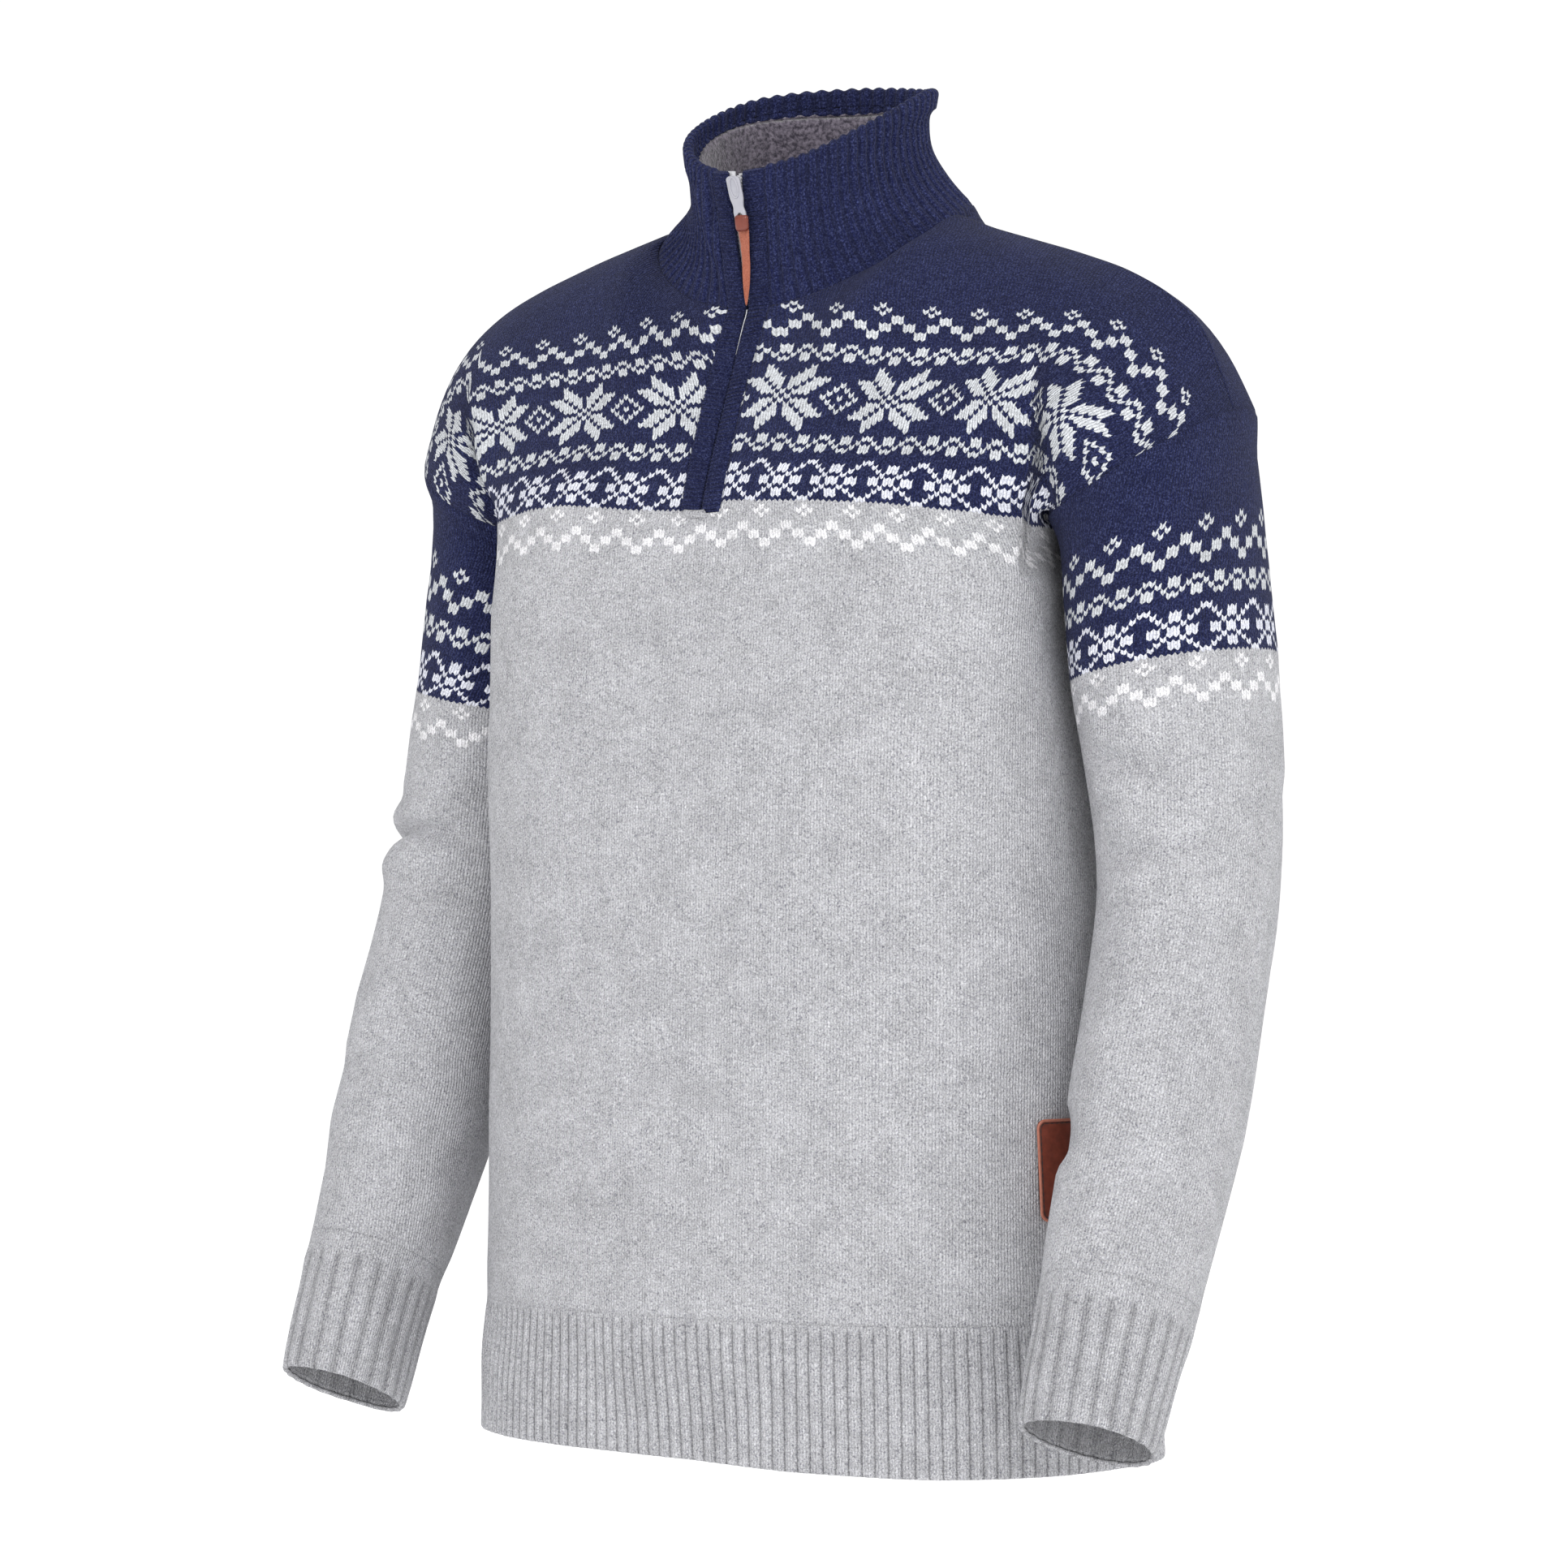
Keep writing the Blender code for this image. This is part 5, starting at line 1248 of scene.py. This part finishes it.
def pullerMesh():
    # plate with a waist and flared foot, cut out in an arch for the ring
    bm = bmesh.new()
    top, bottom = hardware["plateTop"], -hardware["plateEnd"]
    bmesh.ops.create_grid(bm, x_segments=24, y_segments=64, size=0.5)
    for vert in bm.verts:
        across, down = vert.co.x * 2, 0.5 - vert.co.y
        z = top + (bottom - top) * down
        waist = 0.0011 * bump(down - 0.72, 0.14)
        half = hardware["plateHalf"] - waist - 0.0007 * smoothStep(0.80, 1.0, down)
        corner = np.clip(1 - down / 0.10, 0, 1)
        vert.co = (across * half * (1 - corner ** 2) ** 0.5 if corner < 1 else 0.0, -0.0013, z)
    archHalf, archHeight = hardware["arch"]
    arch = [f for f in bm.faces if (f.calc_center_median().x / archHalf) ** 2
            + ((f.calc_center_median().z - bottom) / archHeight) ** 2 < 1]
    bmesh.ops.delete(bm, geom=arch, context="FACES")
    bmesh.ops.remove_doubles(bm, verts=bm.verts, dist=1e-6)
    bmesh.ops.solidify(bm, geom=bm.faces[:], thickness=hardware["plateWall"])
    # the oval's rim, and the arms behind it
    ring = bmesh.ops.create_circle(bm, segments=8, radius=hardware["rimRadius"])["verts"]
    bmesh.ops.translate(bm, vec=(1, 0, 0), verts=ring)
    edges = list({e for v in ring for e in v.link_edges})
    bmesh.ops.spin(bm, geom=ring + edges, cent=(0, 0, 0), axis=(0, 1, 0), angle=2 * pi, steps=36, use_merge=True)
    (halfAcross, halfAlong), (through, down) = hardware["rim"], hardware["rimAt"]
    for vert in [v for v in bm.verts if v.co.length > 0.5]:  # the rim is spun one metre out, then drawn in
        far = Vector((vert.co.x, 0, vert.co.z)).normalized()
        vert.co += Vector((far.x * halfAcross, through, far.z * halfAlong + down)) - far
    for side in (-1, 1):
        addBlock(bm, hardware["arm"], (side * 0.0024, 0, -0.0014), 0.0004)
    hangAside(bm)
    return finishMesh(bm, "puller", hingeFrame)


def ringMesh():
    bm = bmesh.new()
    bmesh.ops.create_circle(bm, segments=10, radius=hardware["ringWire"], cap_ends=False)
    bmesh.ops.translate(bm, vec=(hardware["ringRadius"], 0, 0), verts=bm.verts)
    bmesh.ops.spin(bm, geom=bm.verts[:] + bm.edges[:], cent=(0, 0, 0), axis=(0, 0, 1), angle=2 * pi, steps=28,
                   use_merge=True)
    bmesh.ops.rotate(bm, cent=(0, 0, 0), matrix=Matrix.Rotation(pi / 2, 3, "X"), verts=bm.verts)
    bmesh.ops.translate(bm, vec=hardware["ringAt"], verts=bm.verts)
    hangAside(bm)
    return finishMesh(bm, "ring", hingeFrame)


def capMesh():
    bm = bmesh.new()
    addBlock(bm, hardware["cap"], hardware["capAt"], 0.0021, 6, 0.94)
    hangAside(bm)
    return finishMesh(bm, "cap", hingeFrame)


def tabMesh():
    # a strap cut to a long taper, which twists a little as it hangs
    bm = bmesh.new()
    bmesh.ops.create_grid(bm, x_segments=6, y_segments=48, size=0.5)
    for vert in bm.verts:
        down = 0.5 - vert.co.y
        half = np.interp(down, [0, 0.12, 0.31, 0.58, 0.75, 0.90, 1],
                         [0.0037, 0.0034, 0.0026, 0.0023, 0.0018, 0.0011, 0.0004])
        twist = hardware["strapTwist"] * smoothStep(0.1, 1.0, down)
        across = vert.co.x * 2 * half
        vert.co = (across * cos(twist), 0.0010 + across * sin(twist) + 0.0005 * sin(4 * down),
                   -hardware["strapFrom"] - hardware["strapLength"] * down)
    bmesh.ops.solidify(bm, geom=bm.faces[:], thickness=hardware["strapWall"])
    hangAside(bm)
    return finishMesh(bm, "tab", hingeFrame)


addPiece("zip_slider_body", sliderMesh(), lacquer, "garment", "zip_slider")
addPiece("zip_puller_plate", pullerMesh(), lacquer, "zip_pull", "zip_puller")
addPiece("zip_ring", ringMesh(), nickel, "zip_pull", None)
addPiece("tab_cap", capMesh(), glazedHide, "zip_pull", None)
addPiece("tab_strap", tabMesh(), suede, "zip_pull", "pull_tab")
print("zip pull made")

label = dict(columns=(0.742, 0.892), bottom=-0.5445, top=-0.490, lean=(0.0130, 0.0045), wall=0.0018, lift=0.0024,
             corner=0.0050, rim=0.0006, rimLift=0.0021, rimRadius=0.0008, seam=0.0019, seamLift=0.0023,
             cord=0.00045, stitch=0.0034, borderSteps=260)


def labelCage():
    rows = np.linspace(label["bottom"], label["top"], 21)
    lean = np.linspace(*label["lean"], len(rows))
    columns = np.linspace(*label["columns"], 17)
    return np.array([[outlinePoint(readRows(torsoRows, z), -1, s) for s in columns + aside]
                     for z, aside in zip(rows, lean)])


hideCage = labelCage()
hideNormals = gridNormals(hideCage)
hideHalf = np.array([arcLengths(hideCage, 1)[:, -1].mean(), arcLengths(hideCage, 0)[-1].mean()]) / 2


def onHide(place, lift):  # points at places in metres from the label's middle
    where = (place.reshape(-1, 2) / hideHalf + 1) / 2 * (hideCage.shape[1] - 1, hideCage.shape[0] - 1)
    made = []
    for grid in (hideCage, hideNormals):
        made.append(np.array([splineAt(splineAt(grid, [up])[0], [out])[0] for out, up in where]))
    return (made[0] + made[1] * np.reshape(lift, (-1, 1))).reshape(place.shape[:-1] + (3,))


def labelMesh():
    a, b = np.meshgrid(np.linspace(-1, 1, 33), np.linspace(-1, 1, 41))
    place = np.stack([a, b], 2) * hideHalf
    # the corners are rounded by drawing the grid in along their diagonals
    inner = hideHalf - label["corner"]
    over = np.maximum(abs(place) - inner, 0)
    far, square = np.linalg.norm(over, axis=2), over.max(axis=2)
    shrink = np.where(far > 1e-9, square / np.maximum(far, 1e-9), 1.0)[..., None]
    place = np.sign(place) * (np.minimum(abs(place), inner) + over * shrink)
    toEdge = np.where(far > 1e-9, label["corner"] - square, label["corner"])
    relief = label["lift"] + rolledEdge(toEdge, 0.0012, 0.0016)
    return gridMesh("label", onHide(place, relief), place)


def borderMesh(inset, lift, radius, stitch=0.0):  # a cord laid round the label, drawn in where the thread dives
    radiusHere = label["corner"] - inset
    inner = hideHalf - label["corner"]
    turn = np.linspace(0, pi / 2, 9)
    path = []
    for k, (x, y) in enumerate([(1, 1), (-1, 1), (-1, -1), (1, -1)]):
        path += [inner * (x, y) + radiusHere * np.array([cos(t), sin(t)]) for t in turn + k * pi / 2]
    path = np.array(path + path[:1])
    steps = runningLength(path)
    at = np.linspace(0, steps[-1], label["borderSteps"])
    path = np.stack([np.interp(at, steps, path[:, k]) for k in (0, 1)], 1)
    middle = onHide(path, lift)
    out = unit(onHide(path, lift + 0.001) - middle)
    aside = np.cross(out, unit(np.gradient(middle, axis=0)))
    size = radius * (1 - 0.55 * abs(np.cos(pi * at / stitch)) ** 4 if stitch else np.ones(len(at)))
    ring = np.linspace(0, 2 * pi, 9)[None, :, None]
    points = middle[:, None] + size[:, None, None] * (np.cos(ring) * aside[:, None] + np.sin(ring) * out[:, None])
    points[-1], points[:, -1] = points[0], points[:, 0]
    return gridMesh("border", points, np.zeros(points.shape[:2] + (2,)), closed=True)


addPiece("hide_label", labelMesh(), cowhide, "garment", "side_label", label["wall"])
rimCord = borderMesh(label["rim"], label["rimLift"], label["rimRadius"])
seamCord = borderMesh(label["seam"], label["seamLift"], label["cord"], label["stitch"])
# the rim cord's paler colour is partly its own and partly a painted highlight
addPiece("label_rim", rimCord, burnishedAndHighlight, "garment", None)
addPiece("label_stitching", seamCord, thread, "garment", None)
print("label made")

# Studio: plain white floor, broad soft lights and the camera at three-quarter view
view = dict(azimuth=radians(35.0), distance=3.4, aside=0.01545, height=-0.31, lens=139.38, sensor=36.0)
look = Vector((-sin(view["azimuth"]), cos(view["azimuth"]), 0))
rightward = Vector((cos(view["azimuth"]), sin(view["azimuth"]), 0))
camera = bpy.data.cameras.new("camera")
camera.lens, camera.sensor_width = view["lens"], view["sensor"]
cameraObject = addObject("camera", camera)
cameraObject.location = -look * view["distance"] - rightward * view["aside"] + Vector((0, 0, view["height"]))
cameraObject.rotation_euler = (pi / 2, 0, view["azimuth"])
bpy.context.scene.camera = cameraObject
bpy.context.scene.view_settings.view_transform = "Standard"

# The floor lies well below, so that the garment's shadow stays soft
studio = dict(floor=-0.95, reach=40.0, white="#fafafa", air="#ffffff", seen=1.06, given=0.72, sided=0.24,
              floorGlow=0.30, brightSide=(0.72, -0.36, 0.59))
bm = bmesh.new()
bmesh.ops.create_circle(bm, cap_ends=True, segments=96, radius=studio["reach"])
bmesh.ops.translate(bm, vec=(0, 0, studio["floor"]), verts=bm.verts)
floorMesh = meshFrom(bm, "floor")
floor = addObject("studio_floor", floorMesh)
# Matt white acrylic, lit a little from below
board, _, boardShader = newMaterial("matt_white_acrylic")
for key, value in (("Base Color", linear(studio["white"])), ("Roughness", 0.9),
                   ("Emission Color", linear(studio["white"])), ("Emission Strength", studio["floorGlow"])):
    boardShader.inputs[key].default_value = value
floorMesh.materials.append(board)

# White air all round, which gives a little more light from one side than from the other
world = bpy.data.worlds.new("studio_air")
bpy.context.scene.world = world
world.use_nodes = True
air = world.node_tree
addNode(air, "LightPath", "rays")
addNode(air, "TexCoord", "direction")
addNode(air, "VectorMath", "toBright", {0: air.nodes["direction"].outputs["Generated"], 1: studio["brightSide"]},
        operation="DOT_PRODUCT")
addNode(air, "Math", "given", {0: air.nodes["toBright"].outputs["Value"], 1: studio["sided"], 2: studio["given"]},
        operation="MULTIPLY_ADD")
addNode(air, "Mix", "strength", {0: air.nodes["rays"].outputs["Is Camera Ray"], 2: "given", 3: studio["seen"]})
air.nodes["Background"].inputs["Color"].default_value = linear(studio["air"])
air.links.new(air.nodes["strength"].outputs[0], air.nodes["Background"].inputs["Strength"])
# name, place, size, power
for name, place, size, power in [
    ("key", (2.9, -2.4, 2.0), 2.2, 58.0),
    ("fill", (-0.6, -3.6, 0.9), 2.4, 16.0),
    ("rim", (-2.0, 2.2, 2.0), 2.0, 16.0),
]:
    lamp = bpy.data.lights.new(name, "AREA")
    lamp.shape, lamp.size, lamp.energy = "DISK", size, power
    lampObject = addObject(name, lamp)
    lampObject.location = place
    lampObject.rotation_euler = (Vector((0, 0, -0.3)) - Vector(place)).to_track_quat("-Z", "Y").to_euler()
print("studio ready")
